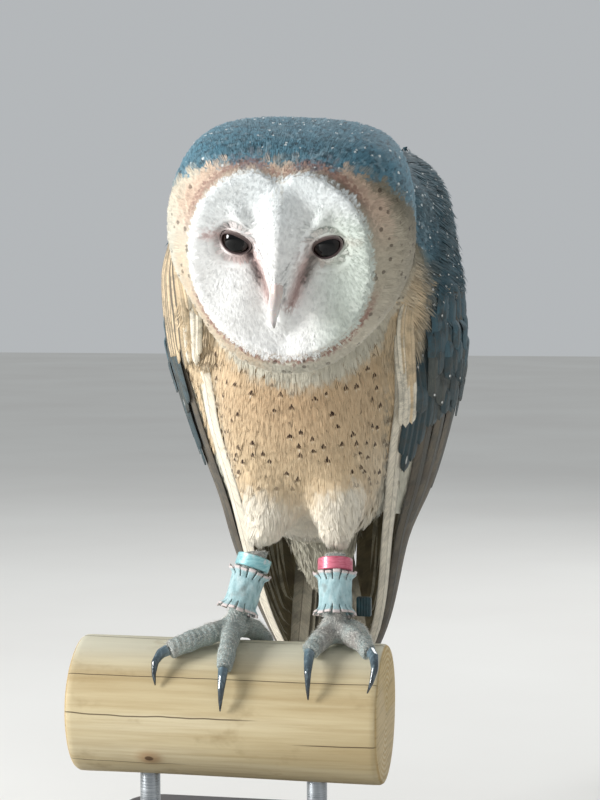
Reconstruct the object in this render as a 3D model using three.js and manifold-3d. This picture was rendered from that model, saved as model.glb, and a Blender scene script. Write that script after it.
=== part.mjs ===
// A still, life-size barn owl that grips a short cut length of round rail, on a plain display stand.
// Millimetres, +Z up. The owl faces -Y and its left is +X. The origin is the centre of the stand's underside.
import * as THREE from "three";
import { mergeVertices } from "three/addons/utils/BufferGeometryUtils.js";
import Module from "manifold-3d";

const wasm = await Module();
wasm.setup();

// ---------- Driving dimensions ----------
const GAP = 0.35; // left between neighbours, so that their faces meet without overlapping

const BASE = { width: 176, depth: 156, thick: 14, corner: 16, bevel: 1.6 };
const ROD = { radius: 4.5, intoRail: 10, intoBase: 8, apart: 74 };
const RAIL = { radius: 30, left: -90, right: 44, chamfer: 1.4, sides: 32 };
const PERCH_HEIGHT = 110; // the rail's top line above the floor
const STANCE = new THREE.Vector3(8, -24, PERCH_HEIGHT); // the rail's top, midway between the feet

const MIDLINE = 4; // the body leans this far to its left over the feet
const HEAD = { x: 10.2, y: -30.2, z: 171.3, pitch: 21, roll: 3 };
const DISC = { halfWidth: 38, top: 40, bottom: 41, rim: -33, thick: 9, dish: 7, cleft: 5 };
const EYE = { radius: 8.2, apart: 36.8, height: 8.5, behindRim: 10.3 };
const RING = { inner: 5.6, outer: 7.6, height: 5.5 };
const ANKLET = { inner: 5.6, outer: 7.1, flare: 9.2, length: 18 };

// ---------- Solids ----------
const degrees = THREE.MathUtils.degToRad;
const point = (x, y, z) => new THREE.Vector3(x, y, z);

// A closed geometry as a manifold, whichever way round its faces were listed.
function solid(geometry) {
  geometry.deleteAttribute("normal");
  geometry.deleteAttribute("uv");
  const merged = mergeVertices(geometry, 1e-4);
  const vertProperties = merged.attributes.position.array;
  const made = (triVerts) => new wasm.Manifold(new wasm.Mesh({ numProp: 3, vertProperties, triVerts }));
  const faces = new Uint32Array(merged.index.array);
  const whole = made(faces);
  return whole.volume() > 0 ? whole : made(faces.slice().reverse());
}

// A solid less its neighbours. Crumbs that a cut leaves loose are dropped.
function carve(body, ...neighbours) {
  const cut = neighbours.reduce((rest, neighbour) => rest.subtract(neighbour), body);
  return cut.decompose().reduce((most, piece) => (piece.volume() > most.volume() ? piece : most));
}

// Catmull-Rom through rows of numbers, with t from 0 to 1.
function between(rows, t) {
  const last = rows.length - 1;
  const i = Math.min(Math.floor(t * last), last - 1);
  const f = t * last - i;
  const [a, b, c, d] = [i - 1, i, i + 1, i + 2].map((k) => rows[THREE.MathUtils.clamp(k, 0, last)]);
  return b.map((now, j) => {
    const slope = (c[j] - a[j]) * f;
    const square = (2 * a[j] - 5 * now + 4 * c[j] - d[j]) * f ** 2;
    const cube = (3 * now - a[j] - 3 * c[j] + d[j]) * f ** 3;
    return (2 * now + slope + square + cube) / 2;
  });
}

// A solid skinned over rings of equally many points, closed by a fan at each end.
function skin(rings) {
  const sides = rings[0].length;
  const ends = [rings[0], rings.at(-1)].map((ring) =>
    ring.reduce((sum, p) => sum.add(p), point(0, 0, 0)).divideScalar(sides),
  );
  const points = [...rings.flat(), ...ends];
  const index = [];
  for (let side = 0; side < sides; side++) {
    const next = (side + 1) % sides;
    for (let ring = 0; ring < rings.length - 1; ring++) {
      const [low, high] = [ring * sides, (ring + 1) * sides];
      index.push(low + side, low + next, high + next, low + side, high + next, high + side);
    }
    const top = (rings.length - 1) * sides;
    index.push(points.length - 2, next, side, points.length - 1, top + side, top + next);
  }
  return solid(new THREE.BufferGeometry().setFromPoints(points).setIndex(index));
}

const power = (value, exponent) => Math.sign(value) * Math.abs(value) ** exponent;

// A rounded body from level cuts. Each level is [z, middle x, front y, back y, half width];
// square above 2 makes the cuts boxier, and pose moves the finished points.
function stack(levels, { sides = 24, rings = 10, square = 2, grow = 0, pose = new THREE.Matrix4() } = {}) {
  const upward = Math.sign(levels.at(-1)[0] - levels[0][0]);
  const cuts = [];
  for (let k = 0; k <= rings; k++) {
    const [z, x, front, back, half] = between(levels, k / rings);
    const lift = upward * (k === 0 ? -grow : k === rings ? grow : 0);
    const cut = [];
    for (let side = 0; side < sides; side++) {
      const angle = (2 * Math.PI * side) / sides;
      const across = power(Math.cos(angle), 2 / square) * (half + grow);
      const depth = power(Math.sin(angle), 2 / square) * ((back - front) / 2 + grow);
      cut.push(point(x + across, (front + back) / 2 + depth, z + lift));
    }
    cuts.push(cut.map((p) => p.applyMatrix4(pose)));
  }
  return skin(cuts);
}

// A round tapering body along a path. Each stop is [x, y, z, radius].
function tube(stops, { sides = 12, rings = 8, grow = 0, pose = new THREE.Matrix4() } = {}) {
  const cuts = [];
  for (let k = 0; k <= rings; k++) {
    const t = k / rings;
    const [x, y, z, radius] = between(stops, t);
    const before = between(stops, Math.max(0, t - 0.02));
    const after = between(stops, Math.min(1, t + 0.02));
    const way = point(after[0] - before[0], after[1] - before[1], after[2] - before[2]).normalize();
    const across = point(1, 0.2, 0.1).cross(way).normalize();
    const over = way.clone().cross(across);
    const end = k === 0 ? -grow : k === rings ? grow : 0;
    const cut = [];
    for (let side = 0; side < sides; side++) {
      const angle = (2 * Math.PI * side) / sides;
      const p = point(x, y, z).addScaledVector(way, end);
      p.addScaledVector(across, Math.cos(angle) * (radius + grow));
      cut.push(p.addScaledVector(over, Math.sin(angle) * (radius + grow)));
    }
    cuts.push(cut.map((p) => p.applyMatrix4(pose)));
  }
  return skin(cuts);
}

const owl = new THREE.Group();
owl.position.copy(STANCE);
const model = new THREE.Group();
model.add(owl);

// Adds a solid to a group as the named mesh of one node.
function place(group, name, body, material) {
  const mesh = body.getMesh();
  const geometry = new THREE.BufferGeometry();
  geometry.setAttribute("position", new THREE.BufferAttribute(mesh.vertProperties, 3));
  geometry.setIndex(new THREE.BufferAttribute(mesh.triVerts, 1));
  const node = new THREE.Mesh(geometry, material);
  node.name = name;
  group.add(node);
}

function finish(color, roughness, metalness = 0) {
  return new THREE.MeshStandardMaterial({ color, roughness, metalness });
}

const FINISHES = {
  slate: finish(0x4f6570, 0.85),
  buff: finish(0xc9a06b, 0.9),
  cream: finish(0xe6ddc9, 0.9),
  white: finish(0xf1f0ec, 0.9),
  barred: finish(0x8d8271, 0.8),
  eye: finish(0x0a0a0c, 0.08),
  bill: finish(0xd9c9c2, 0.45),
  leg: finish(0x9f9a93, 0.7),
  claw: finish(0x2f3437, 0.3),
  hide: finish(0xa9b9bb, 0.85),
  blueRing: finish(0x55b7c9, 0.35),
  redRing: finish(0xc8415a, 0.35),
  tag: finish(0x16282b, 0.5),
  pine: finish(0xcdb98a, 0.7),
  dark: finish(0x2b2724, 0.5),
  steel: finish(0x9a9da0, 0.3, 1),
};

// ---------- The rail and its stand ----------
// The rail is a peeled pole, sawn square at both ends. Two rods from a flat board run up into it.
const rodPlaces = [-1, 1].map((end) => (RAIL.left + RAIL.right) / 2 + (end * ROD.apart) / 2);
const railBottom = -2 * RAIL.radius;
const rodFoot = BASE.thick - ROD.intoBase - PERCH_HEIGHT;
const rodTop = railBottom + ROD.intoRail;

function rod(x, grow = 0) {
  const length = rodTop - rodFoot + 2 * grow;
  const geometry = new THREE.CylinderGeometry(ROD.radius + grow, ROD.radius + grow, length, 14);
  return solid(geometry.rotateX(degrees(90)).translate(x, 0, (rodTop + rodFoot) / 2));
}

function rail(grow = 0) {
  const [low, high, radius] = [RAIL.left - grow, RAIL.right + grow, RAIL.radius + grow];
  const profile = [
    [0, low],
    [radius - RAIL.chamfer, low],
    [radius, low + RAIL.chamfer],
    [radius, high - RAIL.chamfer],
    [radius - RAIL.chamfer, high],
    [0, high],
  ].map(([r, x]) => new THREE.Vector2(r, x));
  const pole = new THREE.LatheGeometry(profile, RAIL.sides);
  return solid(pole.rotateZ(degrees(-90)).translate(0, 0, -RAIL.radius));
}

function board() {
  const [x, y] = [BASE.width / 2 - BASE.bevel, BASE.depth / 2 - BASE.bevel];
  const r = BASE.corner;
  const outline = new THREE.Shape();
  outline.absarc(x - r, y - r, r, 0, Math.PI / 2);
  outline.absarc(r - x, y - r, r, Math.PI / 2, Math.PI);
  outline.absarc(r - x, r - y, r, Math.PI, 1.5 * Math.PI);
  outline.absarc(x - r, r - y, r, 1.5 * Math.PI, 2 * Math.PI);
  const bevel = { bevelThickness: BASE.bevel, bevelSize: BASE.bevel, bevelSegments: 1 };
  const depth = BASE.thick - 2 * BASE.bevel;
  const slab = new THREE.ExtrudeGeometry(outline, { depth, curveSegments: 2, ...bevel });
  return solid(slab.translate(0, 0, BASE.bevel));
}

const grownRail = rail(GAP);
place(owl, "perch_rail", carve(rail(), ...rodPlaces.map((x) => rod(x, GAP))), FINISHES.pine);
place(owl, "stand_rod_right", rod(rodPlaces[0]), FINISHES.steel);
place(owl, "stand_rod_left", rod(rodPlaces[1]), FINISHES.steel);
const sockets = rodPlaces.map((x) => rod(x, GAP).translate([STANCE.x, STANCE.y, STANCE.z]));
place(model, "stand_base", carve(board(), ...sockets), FINISHES.dark);

// ---------- Head ----------
// Everything on the head is drawn upright round the middle of the skull, facing -Y, then nodded and tilted.
const headPose = new THREE.Matrix4()
  .makeTranslation(HEAD.x, HEAD.y, HEAD.z)
  .multiply(new THREE.Matrix4().makeRotationY(degrees(HEAD.roll)))
  .multiply(new THREE.Matrix4().makeRotationX(degrees(HEAD.pitch)));

const headLevels = [
  [-50, 0, -30, -6, 8],
  [-46, 0, -34, 3, 22],
  [-37, 0, -36, 15, 35],
  [-25, 0, -37, 27, 45],
  [-10, -0.8, -37, 34, 51.5],
  [6, -1.3, -37, 37, 53],
  [22, -1, -36, 36, 51.5],
  [35, 0, -33, 33, 47],
  [43, 0.5, -28, 29, 41.5],
  [47.5, 0.5, -21, 23, 33],
  [49.5, 0.5, -12, 14, 20],
];
const head = (grow = 0) => stack(headLevels, { sides: 22, rings: 10, square: 2.7, grow, pose: headPose });

// The facial disc is a shallow heart-shaped dish, with a ridge of feathers down its middle to the bill.
const ridgeStops = [
  [0, -27, 35, 1.5],
  [0, -28.6, 29, 6.5],
  [0, -30.5, 20, 7],
  [0, -34.6, 4, 6],
  [0, -36, -5, 5.5],
  [0, -34.3, -14, 5],
  [0, -29, -23, 4.6],
  [0, -25, -29, 4],
];
function discEdge(angle) {
  const [c, s] = [Math.cos(angle), Math.sin(angle)];
  const square = s > 0 ? 2.4 : 2;
  const reach = s > 0 ? DISC.top : DISC.bottom;
  const radius = (Math.abs(c / DISC.halfWidth) ** square + Math.abs(s / reach) ** square) ** (-1 / square);
  const cleft = s > 0 ? DISC.cleft * Math.exp(-((c / 0.16) ** 2)) : 0;
  return radius - cleft;
}
// The disc as a plate. Its front lies behind the rim by a depth given at each share of the way out.
function discPlate(depth, shares, grow = 0) {
  const sides = 26;
  const ringAt = (share, behind) =>
    Array.from({ length: sides }, (_, side) => {
      const angle = (2 * Math.PI * (side + 0.5)) / sides;
      const reach = (discEdge(angle) + grow) * share;
      const at = point(reach * Math.cos(angle), DISC.rim + behind, reach * Math.sin(angle));
      return at.applyMatrix4(headPose);
    });
  const back = DISC.thick + DISC.dish + grow;
  return skin([ringAt(0.5, back), ringAt(1, back), ...shares.map((share) => ringAt(share, depth(share)))]);
}
const dish = discPlate((share) => DISC.dish * (1 - share ** 2), [1, 0.7, 0.35]);
const disc = dish.add(tube(ridgeStops, { sides: 8, rings: 7, pose: headPose }));
const discHollow = discPlate(() => -30, [1, 0.5], GAP);

function eye(side, grow = 0) {
  const at = point((side * EYE.apart) / 2, DISC.rim + EYE.behindRim, EYE.height).applyMatrix4(headPose);
  return solid(new THREE.SphereGeometry(EYE.radius + grow, 10, 7).translate(at.x, at.y, at.z));
}

const upperBill = (grow = 0) =>
  tube(
    [
      [0, -38, 0, 4.4],
      [0, -43.5, -6.5, 4.3],
      [0, -46.5, -13.5, 3],
      [0, -45.2, -20.5, 0.8],
    ],
    { sides: 8, rings: 5, grow, pose: headPose },
  );
const lowerBill = (grow = 0) =>
  tube(
    [
      [0, -34, -8, 2.6],
      [0, -39, -12.5, 2.8],
      [0, -42.3, -17.3, 1.4],
    ],
    { sides: 8, rings: 4, grow, pose: headPose },
  );

const eyes = [-1, 1].map((side) => eye(side));
const grownEyes = [-1, 1].map((side) => eye(side, GAP));
const upper = upperBill();
const lower = carve(lowerBill(), upperBill(GAP));
const grownBill = [upperBill(GAP), lowerBill(GAP)];
place(owl, "eye_right", eyes[0], FINISHES.eye);
place(owl, "eye_left", eyes[1], FINISHES.eye);
place(owl, "bill_upper", upper, FINISHES.bill);
place(owl, "bill_lower", lower, FINISHES.bill);
place(owl, "facial_disc", carve(disc, ...grownEyes, ...grownBill), FINISHES.white);
place(owl, "head", carve(head(), discHollow, ...grownEyes, ...grownBill), FINISHES.slate);

// ---------- Trunk, neck, rump and tail ----------
const trunkLevels = [
  [36, MIDLINE, 42, 60, 10],
  [44, MIDLINE, 26, 71, 26],
  [58, MIDLINE, 6, 82, 36],
  [80, MIDLINE, -10, 91, 42],
  [105, MIDLINE, -20, 95, 45],
  [130, MIDLINE, -22, 96, 48],
  [155, MIDLINE, -15, 94, 51],
  [178, MIDLINE, 0, 90, 52],
  [196, MIDLINE, 16, 83, 50],
  [208, MIDLINE, 28, 73, 43],
  [214, MIDLINE, 40, 62, 26],
];
const trunk = (grow = 0) => stack(trunkLevels, { sides: 22, rings: 10, square: 2.6, grow });

const neckLevels = [
  [128, 8, -16, 30, 20],
  [136, 8, -22, 40, 40],
  [155, 8, -24, 46, 52],
  [178, 8, -22, 50, 56],
  [196, 8, -18, 48, 53],
  [208, 8, -12, 42, 42],
  [215, 8, -4, 32, 20],
];
const neck = (grow = 0) => stack(neckLevels, { sides: 16, rings: 5, square: 2.3, grow });

// The vent and the soft feathers under the tail.
const rumpLevels = [
  [74, MIDLINE, 42, 80, 26],
  [56, MIDLINE, 47, 81, 25],
  [40, MIDLINE, 56, 80, 21],
  [24, MIDLINE, 67, 82, 16],
  [8, MIDLINE, 78, 86, 9],
];
const rump = (grow = 0) => stack(rumpLevels, { sides: 12, rings: 3, grow });

// The tail is a slightly fanned plate with a square tip, under the wing tips.
const TAIL = { root: [71, 52], tip: [104, -48], rootHalf: 13, tipHalf: 21, thick: 4, round: 8 };
function tail(grow = 0) {
  const [run, drop] = [TAIL.tip[0] - TAIL.root[0], TAIL.tip[1] - TAIL.root[1]];
  const length = Math.hypot(run, drop);
  const [narrow, wide, end] = [TAIL.rootHalf + grow, TAIL.tipHalf + grow, length + grow];
  const outline = new THREE.Shape();
  outline.moveTo(-narrow, -grow);
  outline.lineTo(-wide, end - TAIL.round);
  outline.quadraticCurveTo(-wide + 1, end - 1, -wide / 2, end);
  outline.lineTo(wide / 2, end);
  outline.quadraticCurveTo(wide - 1, end - 1, wide, end - TAIL.round);
  outline.lineTo(narrow, -grow);
  const depth = TAIL.thick + 2 * grow;
  const plate = new THREE.ExtrudeGeometry(outline, { depth, curveSegments: 4, bevelEnabled: false });
  plate.translate(0, 0, -depth / 2).rotateX(Math.atan2(drop, run));
  return solid(plate.translate(MIDLINE, TAIL.root[0], TAIL.root[1]));
}

const grownTrunk = trunk(GAP);
const grownNeck = neck(GAP);
place(owl, "trunk", carve(trunk(), head(GAP)), FINISHES.buff);
place(owl, "neck", carve(neck(), head(GAP), grownTrunk, discHollow), FINISHES.slate);
place(owl, "rump", carve(rump(), grownTrunk, tail(GAP)), FINISHES.cream);
place(owl, "tail", carve(tail(), grownTrunk), FINISHES.barred);

// ---------- Wings ----------
// A folded wing is a long blade that wraps the flank from its leading edge, low at the front, to its trailing
// edge over the back. Each row gives one level of its outer face as [leading x, y, z, pull x, y, z, trailing
// x, y, z, thickness], where the pull bends the face outward as the middle point of a quadratic curve.
// x counts outward from the body's midline.
const shoulderRows = [
  [34, 26, 214, 52, 44, 220, 30, 64, 214, 5],
  [33, 6, 207, 74, 46, 214, 22, 82, 206, 10],
  [42, -2, 190, 87, 50, 200, 25, 92, 190, 18],
  [48, -10, 168, 93, 51, 176, 25, 97, 168, 22],
  [50.5, -13, 137, 105, 52, 138, 21, 100, 132, 22],
  [45, 6, 100, 103, 60, 100, 14, 103, 100, 15],
  [38, 34, 66, 91, 80, 64, 8, 105, 62, 9],
  [34.5, 48, 46.5, 80, 87, 46.5, 6, 107, 46.5, 7],
];
const primaryRows = [
  [34, 49, 46, 73, 86, 46, 6, 104, 46, 7],
  [31.5, 58, 34, 70, 92, 32, 5, 107, 30, 6.5],
  [25, 84, -3, 54, 106, 0, 4.5, 118, 0, 5],
  [15, 108, -33, 30, 121, -32, 4, 128, -30, 4],
  [6, 129, -58, 9, 133, -57.5, 3, 137, -55, 3],
];
// The right wing lies closer at the shoulder and stands out further at its primaries.
// The body leans to its left as it rises.
const SPREAD = { right: [0.95, 1.12], left: [1, 1] };
const axis = (z) => THREE.MathUtils.clamp(1 + 0.04 * z, -1, 5);

// A point of the blade's outer face and the way it looks, from one level's row and a share of the width.
function flank(row, u) {
  const [lead, pull, trail] = [0, 3, 6].map((i) => point(...row.slice(i, i + 3)));
  const at = new THREE.QuadraticBezierCurve3(lead, pull, trail);
  const along = at.getTangent(u);
  return { on: at.getPoint(u), out: point(along.y, -along.x, 0).normalize(), along };
}

// The stretch of a blade from share s0 to s1 of its length and u0 to u1 of its width.
function blade(side, rows, [s0, s1], [u0, u1], { across = 6, rings = 6, grow = 0, spread = 1 } = {}) {
  const cuts = [];
  for (let k = 0; k <= rings; k++) {
    const row = between(rows, THREE.MathUtils.lerp(s0, s1, k / rings));
    row[3] *= spread;
    const [outer, inner] = [[], []];
    for (let j = 0; j <= across; j++) {
      const u = THREE.MathUtils.lerp(u0, u1, j / across);
      const { on, out, along } = flank(row, u);
      const thick = row[9] * Math.min(1, 0.6 + 3 * u) * (1 - 0.75 * u);
      on.addScaledVector(along, j === 0 ? -grow : j === across ? grow : 0);
      on.z += k === 0 ? grow : k === rings ? -grow : 0;
      outer.push(on.clone().addScaledVector(out, grow));
      inner.unshift(on.clone().addScaledVector(out, -thick - grow));
    }
    cuts.push([...outer, ...inner].map((p) => point(axis(p.z) + side * p.x, p.y, p.z)));
  }
  return skin(cuts);
}

// Where the parts of the upper blade meet, as shares of its length and width, each less a thin seam.
const SEAM = { elbow: 5 / 7, elbowGap: 0.0016, hand: 0.34, handGap: 0.003 };
const flight = [SEAM.elbow + SEAM.elbowGap, 1];
const bodyBlocks = [head(GAP), grownNeck, grownTrunk, rump(GAP), tail(GAP)];
for (const [name, side] of [
  ["right", -1],
  ["left", 1],
]) {
  const [upperSpread, lowerSpread] = SPREAD[name];
  const upperPart = (along, across, shape) =>
    blade(side, shoulderRows, along, across, { spread: upperSpread, ...shape });
  const parts = {
    arm: [upperPart([0, SEAM.elbow], [0, 1], { across: 5, rings: 7 }), FINISHES.slate],
    hand: [upperPart(flight, [0, SEAM.hand], { across: 2, rings: 3 }), FINISHES.buff],
    secondaries: [upperPart(flight, [SEAM.hand + SEAM.handGap, 1], { across: 4, rings: 3 }), FINISHES.barred],
    primaries: [
      blade(side, primaryRows, [0, 1], [0, 1], { across: 4, rings: 7, spread: lowerSpread }),
      FINISHES.barred,
    ],
  };
  for (const [part, [shape, finished]] of Object.entries(parts)) {
    place(owl, `wing_${name}_${part}`, carve(shape, ...bodyBlocks), finished);
  }
}

// ---------- Legs ----------
// A point over the rail, at a distance x along it, an angle forward of its top line
// and a height over its surface.
function onRail(x, angle, height) {
  const reach = RAIL.radius + height;
  return [x, -reach * Math.sin(degrees(angle)), reach * Math.cos(degrees(angle)) - RAIL.radius];
}

// A ring-shaped band on a shank, drawn upright from a profile of [radius, height] and leaned along the shank.
function band(profile, from, to, share) {
  const [low, high] = [point(...from), point(...to)];
  const lean = new THREE.Quaternion().setFromUnitVectors(point(0, 0, 1), high.clone().sub(low).normalize());
  const at = low.lerp(high, share);
  const shape = new THREE.LatheGeometry(profile.map(([r, z]) => new THREE.Vector2(r, z)), 16);
  return solid(shape.rotateX(degrees(90)).applyQuaternion(lean).translate(at.x, at.y, at.z));
}
const closed = (profile) => [...profile, profile[0]];

const half = ANKLET.length / 2;
const ankletProfile = closed([
  [ANKLET.inner, -half],
  [ANKLET.flare, -half],
  [ANKLET.outer, -half + 3],
  [ANKLET.outer, half - 3],
  [ANKLET.flare - 0.6, half],
  [ANKLET.inner, half],
]);
const ringProfile = closed([
  [RING.inner, -RING.height / 2],
  [RING.outer, -RING.height / 2],
  [RING.outer, RING.height / 2],
  [RING.inner, RING.height / 2],
]);

// Each leg: its thigh's levels, the shank from foot to heel, the foot's middle, and for each toe its stops
// along the rail as [x, angle, height, radius], then those of its claw.
const LEGS = {
  right: {
    thigh: [
      [92, -13, 4, 30, 12],
      [82, -12, -5, 40, 20],
      [66, -10, -3, 38, 17],
      [52, -8.5, 0, 29, 13.5],
      [43, -11, 0.5, 20, 10.2],
      [37.5, -13, 1.5, 15.5, 7.8],
    ],
    heel: [-13.4, 8.5, 39],
    ankle: [-23, -2.5, 5],
    ring: "blueRing",
    toes: {
      inner: [[-23, 6, 5.5, 5], [-21.6, 24, 5.1, 4.6], [-21.4, 38, 4.7, 4.2], [-21.3, 50, 4.5, 4]],
      middle: [[-25, 5, 5.5, 5], [-34, 16, 5.2, 4.7], [-43, 27, 4.9, 4.4], [-50, 36, 4.7, 4.2]],
      outer: [[-25, -6, 5.5, 5], [-31, -20, 5.2, 4.7], [-35, -36, 4.8, 4.3], [-38, -50, 4.5, 4]],
      hind: [[-22, -6, 5.5, 5], [-18, -20, 5.2, 4.7], [-15, -34, 4.7, 4.2], [-13, -46, 4.4, 3.9]],
    },
    claws: {
      inner: [[-21.3, 49, 5, 2.9], [-21, 60, 5.8, 2.2], [-21.2, 71, 4.4, 1.4], [-21.7, 81, 1.6, 0.5]],
      middle: [[-50, 35, 5, 2.9], [-54, 43, 6, 2.2], [-55, 53, 4.6, 1.4], [-54.2, 63, 1.6, 0.5]],
      outer: [[-38, -49, 5, 2.9], [-39.5, -60, 5.8, 2.2], [-40, -70, 4.4, 1.4], [-39.5, -79, 1.6, 0.5]],
      hind: [[-13, -45, 5, 2.8], [-12, -55, 5.6, 2.1], [-11.5, -65, 4.2, 1.3], [-11.7, -73, 1.6, 0.5]],
    },
  },
  left: {
    thigh: [
      [92, 22, 4, 30, 12],
      [82, 22, -5, 40, 20],
      [66, 21.5, -3, 38, 18],
      [52, 21, 0, 29, 13],
      [43, 20.8, 0.5, 20, 8.8],
      [37.5, 20.6, 1.5, 15.5, 7.2],
    ],
    heel: [20.5, 8.5, 39],
    ankle: [22, -2.5, 5],
    ring: "redRing",
    toes: {
      inner: [[21.5, 6, 5.5, 5], [18.5, 16, 5.1, 4.6], [16, 25, 4.8, 4.3], [14.4, 33, 4.6, 4.1]],
      middle: [[23.5, 5, 5.5, 5], [31, 13, 5.2, 4.7], [38, 22, 4.9, 4.4], [44, 31, 4.7, 4.2]],
      outer: [[24, -6, 5.5, 5], [29, -20, 5.2, 4.7], [32, -36, 4.8, 4.3], [34, -50, 4.5, 4]],
      hind: [[21, -6, 5.5, 5], [17, -20, 5.2, 4.7], [14, -34, 4.7, 4.2], [12, -46, 4.4, 3.9]],
    },
    claws: {
      inner: [[14.4, 32, 5, 2.9], [14.8, 45, 6.4, 2.2], [15.2, 58, 4.8, 1.4], [15.5, 70, 1.6, 0.5]],
      middle: [[44, 30, 5, 2.9], [47.4, 40, 5.6, 2.2], [47.2, 52, 4, 1.4], [44.8, 63, 1.6, 0.5]],
      outer: [[34, -49, 5, 2.9], [35.5, -60, 5.8, 2.2], [36, -70, 4.4, 1.4], [35.5, -79, 1.6, 0.5]],
      hind: [[12, -45, 5, 2.8], [11, -55, 5.6, 2.1], [10.5, -65, 4.2, 1.3], [10.7, -73, 1.6, 0.5]],
    },
  },
};
const PAD = { radius: 7.2, flatten: 0.72 };
const wingsOver = [-1, 1].map((side) => blade(side, shoulderRows, [0.5, 1], [0, 1], { rings: 6, grow: GAP }));
const trailingParts = [grownTrunk, rump(GAP), ...wingsOver];

for (const [name, leg] of Object.entries(LEGS)) {
  const thigh = (grow = 0) => stack(leg.thigh, { sides: 14, rings: 5, grow });
  const middle = point(...leg.heel).lerp(point(...leg.ankle), 0.5);
  const shank = (grow = 0) =>
    tube([[...leg.heel, 5], [...middle, 4.6], [...leg.ankle, 5.2]], { sides: 9, rings: 2, grow });
  const pad = (grow = 0) =>
    solid(
      new THREE.SphereGeometry(PAD.radius + grow, 12, 6)
        .scale(1, 1, PAD.flatten)
        .translate(leg.ankle[0], leg.ankle[1], leg.ankle[2]),
    );
  const grownPad = pad(GAP);
  const grownThigh = thigh(GAP);
  place(owl, `thigh_${name}`, carve(thigh(), ...trailingParts), FINISHES.cream);
  place(owl, `shank_${name}`, carve(shank(), grownThigh, grownPad), FINISHES.leg);
  place(owl, `foot_${name}`, carve(pad(), grownRail), FINISHES.leg);
  const ring = band(ringProfile, leg.heel, leg.ankle, 0.19);
  const anklet = band(ankletProfile, leg.heel, leg.ankle, 0.54);
  place(owl, `ring_${name}`, carve(ring, grownThigh), FINISHES[leg.ring]);
  place(owl, `anklet_${name}`, carve(anklet, grownPad), FINISHES.hide);

  const cut = [grownPad, shank(GAP)];
  for (const [toe, stops] of Object.entries(leg.toes)) {
    const pathOf = (rows) => rows.map(([x, angle, height, radius]) => [...onRail(x, angle, height), radius]);
    const digit = (grow = 0) => tube(pathOf(stops), { sides: 8, rings: 4, grow });
    const claw = tube(pathOf(leg.claws[toe]), { sides: 6, rings: 4 });
    place(owl, `toe_${name}_${toe}`, carve(digit(), ...cut), FINISHES.leg);
    place(owl, `claw_${name}_${toe}`, carve(claw, digit(GAP)), FINISHES.claw);
    cut.push(digit(GAP));
  }
}

// A small dark tag hangs at the outer side of the left anklet.
const TAG = { size: [6.4, 3, 8.4], at: [33.4, 6, 15] };
const tag = new THREE.BoxGeometry(...TAG.size).translate(...TAG.at);
place(owl, "anklet_left_tag", solid(tag), FINISHES.tag);

export default model;
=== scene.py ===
# A life-size barn owl that grips a cut length of peeled rail, held on a plain display stand.
# Metres, +Z up. The owl faces -Y and its left is +X.
import math

import bpy
import numpy as np
from mathutils import Matrix, Vector
from mathutils.bvhtree import BVHTree
from mathutils.kdtree import KDTree


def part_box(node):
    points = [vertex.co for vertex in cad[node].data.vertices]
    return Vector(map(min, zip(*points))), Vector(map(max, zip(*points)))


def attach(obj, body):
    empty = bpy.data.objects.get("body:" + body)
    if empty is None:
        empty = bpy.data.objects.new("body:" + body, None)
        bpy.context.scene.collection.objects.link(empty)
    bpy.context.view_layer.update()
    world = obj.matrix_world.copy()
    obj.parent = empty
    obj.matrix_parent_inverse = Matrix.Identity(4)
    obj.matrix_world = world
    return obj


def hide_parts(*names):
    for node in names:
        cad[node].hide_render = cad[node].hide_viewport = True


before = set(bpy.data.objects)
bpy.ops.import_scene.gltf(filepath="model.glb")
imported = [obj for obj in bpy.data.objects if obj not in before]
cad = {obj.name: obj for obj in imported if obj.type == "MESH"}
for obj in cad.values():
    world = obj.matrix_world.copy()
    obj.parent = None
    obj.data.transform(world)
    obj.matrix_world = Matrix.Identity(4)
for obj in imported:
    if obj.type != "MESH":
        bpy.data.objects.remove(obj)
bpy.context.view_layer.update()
MM = 0.001

# ---------- Camera ----------
# It stands a little to the owl's left and just above its eyes' level, 0.85 m away. The render is
# 600 by 800, so the 36 mm side of the sensor is its height.
STANCE = Vector((8, -24, 110)) * MM  # the rail's top line, midway between the feet
VIEW = {"azimuth": 10.5, "elevation": 3.5, "distance": 0.85, "lens": 88.95}
aim = STANCE + Vector((5.19, 7.4, 103.44)) * MM
around, above = math.radians(VIEW["azimuth"]), math.radians(VIEW["elevation"])
away = Vector((math.sin(around) * math.cos(above), -math.cos(around) * math.cos(above), math.sin(above)))
camera = bpy.data.objects.new("camera", bpy.data.cameras.new("camera"))
camera.data.lens = VIEW["lens"]
camera.data.sensor_width = 36
camera.location = aim + VIEW["distance"] * away
camera.rotation_euler = away.to_track_quat("Z", "Y").to_euler()
bpy.context.scene.collection.objects.link(camera)
bpy.context.scene.camera = camera

# ---------- Floor and light ----------
# A plain pale floor under soft boxes: the key high on the owl's right, a broad fill on its left
# and a weaker one behind that rims the shoulders.
scene = bpy.context.scene
scene.view_settings.view_transform = "Standard"


def color(code):
    """A colour written as on a screen, as the linear values that the shaders take."""
    parts = [int(code[i : i + 2], 16) / 255 for i in (1, 3, 5)]
    return [p / 12.92 if p <= 0.04045 else ((p + 0.055) / 1.055) ** 2.4 for p in parts]


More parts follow.
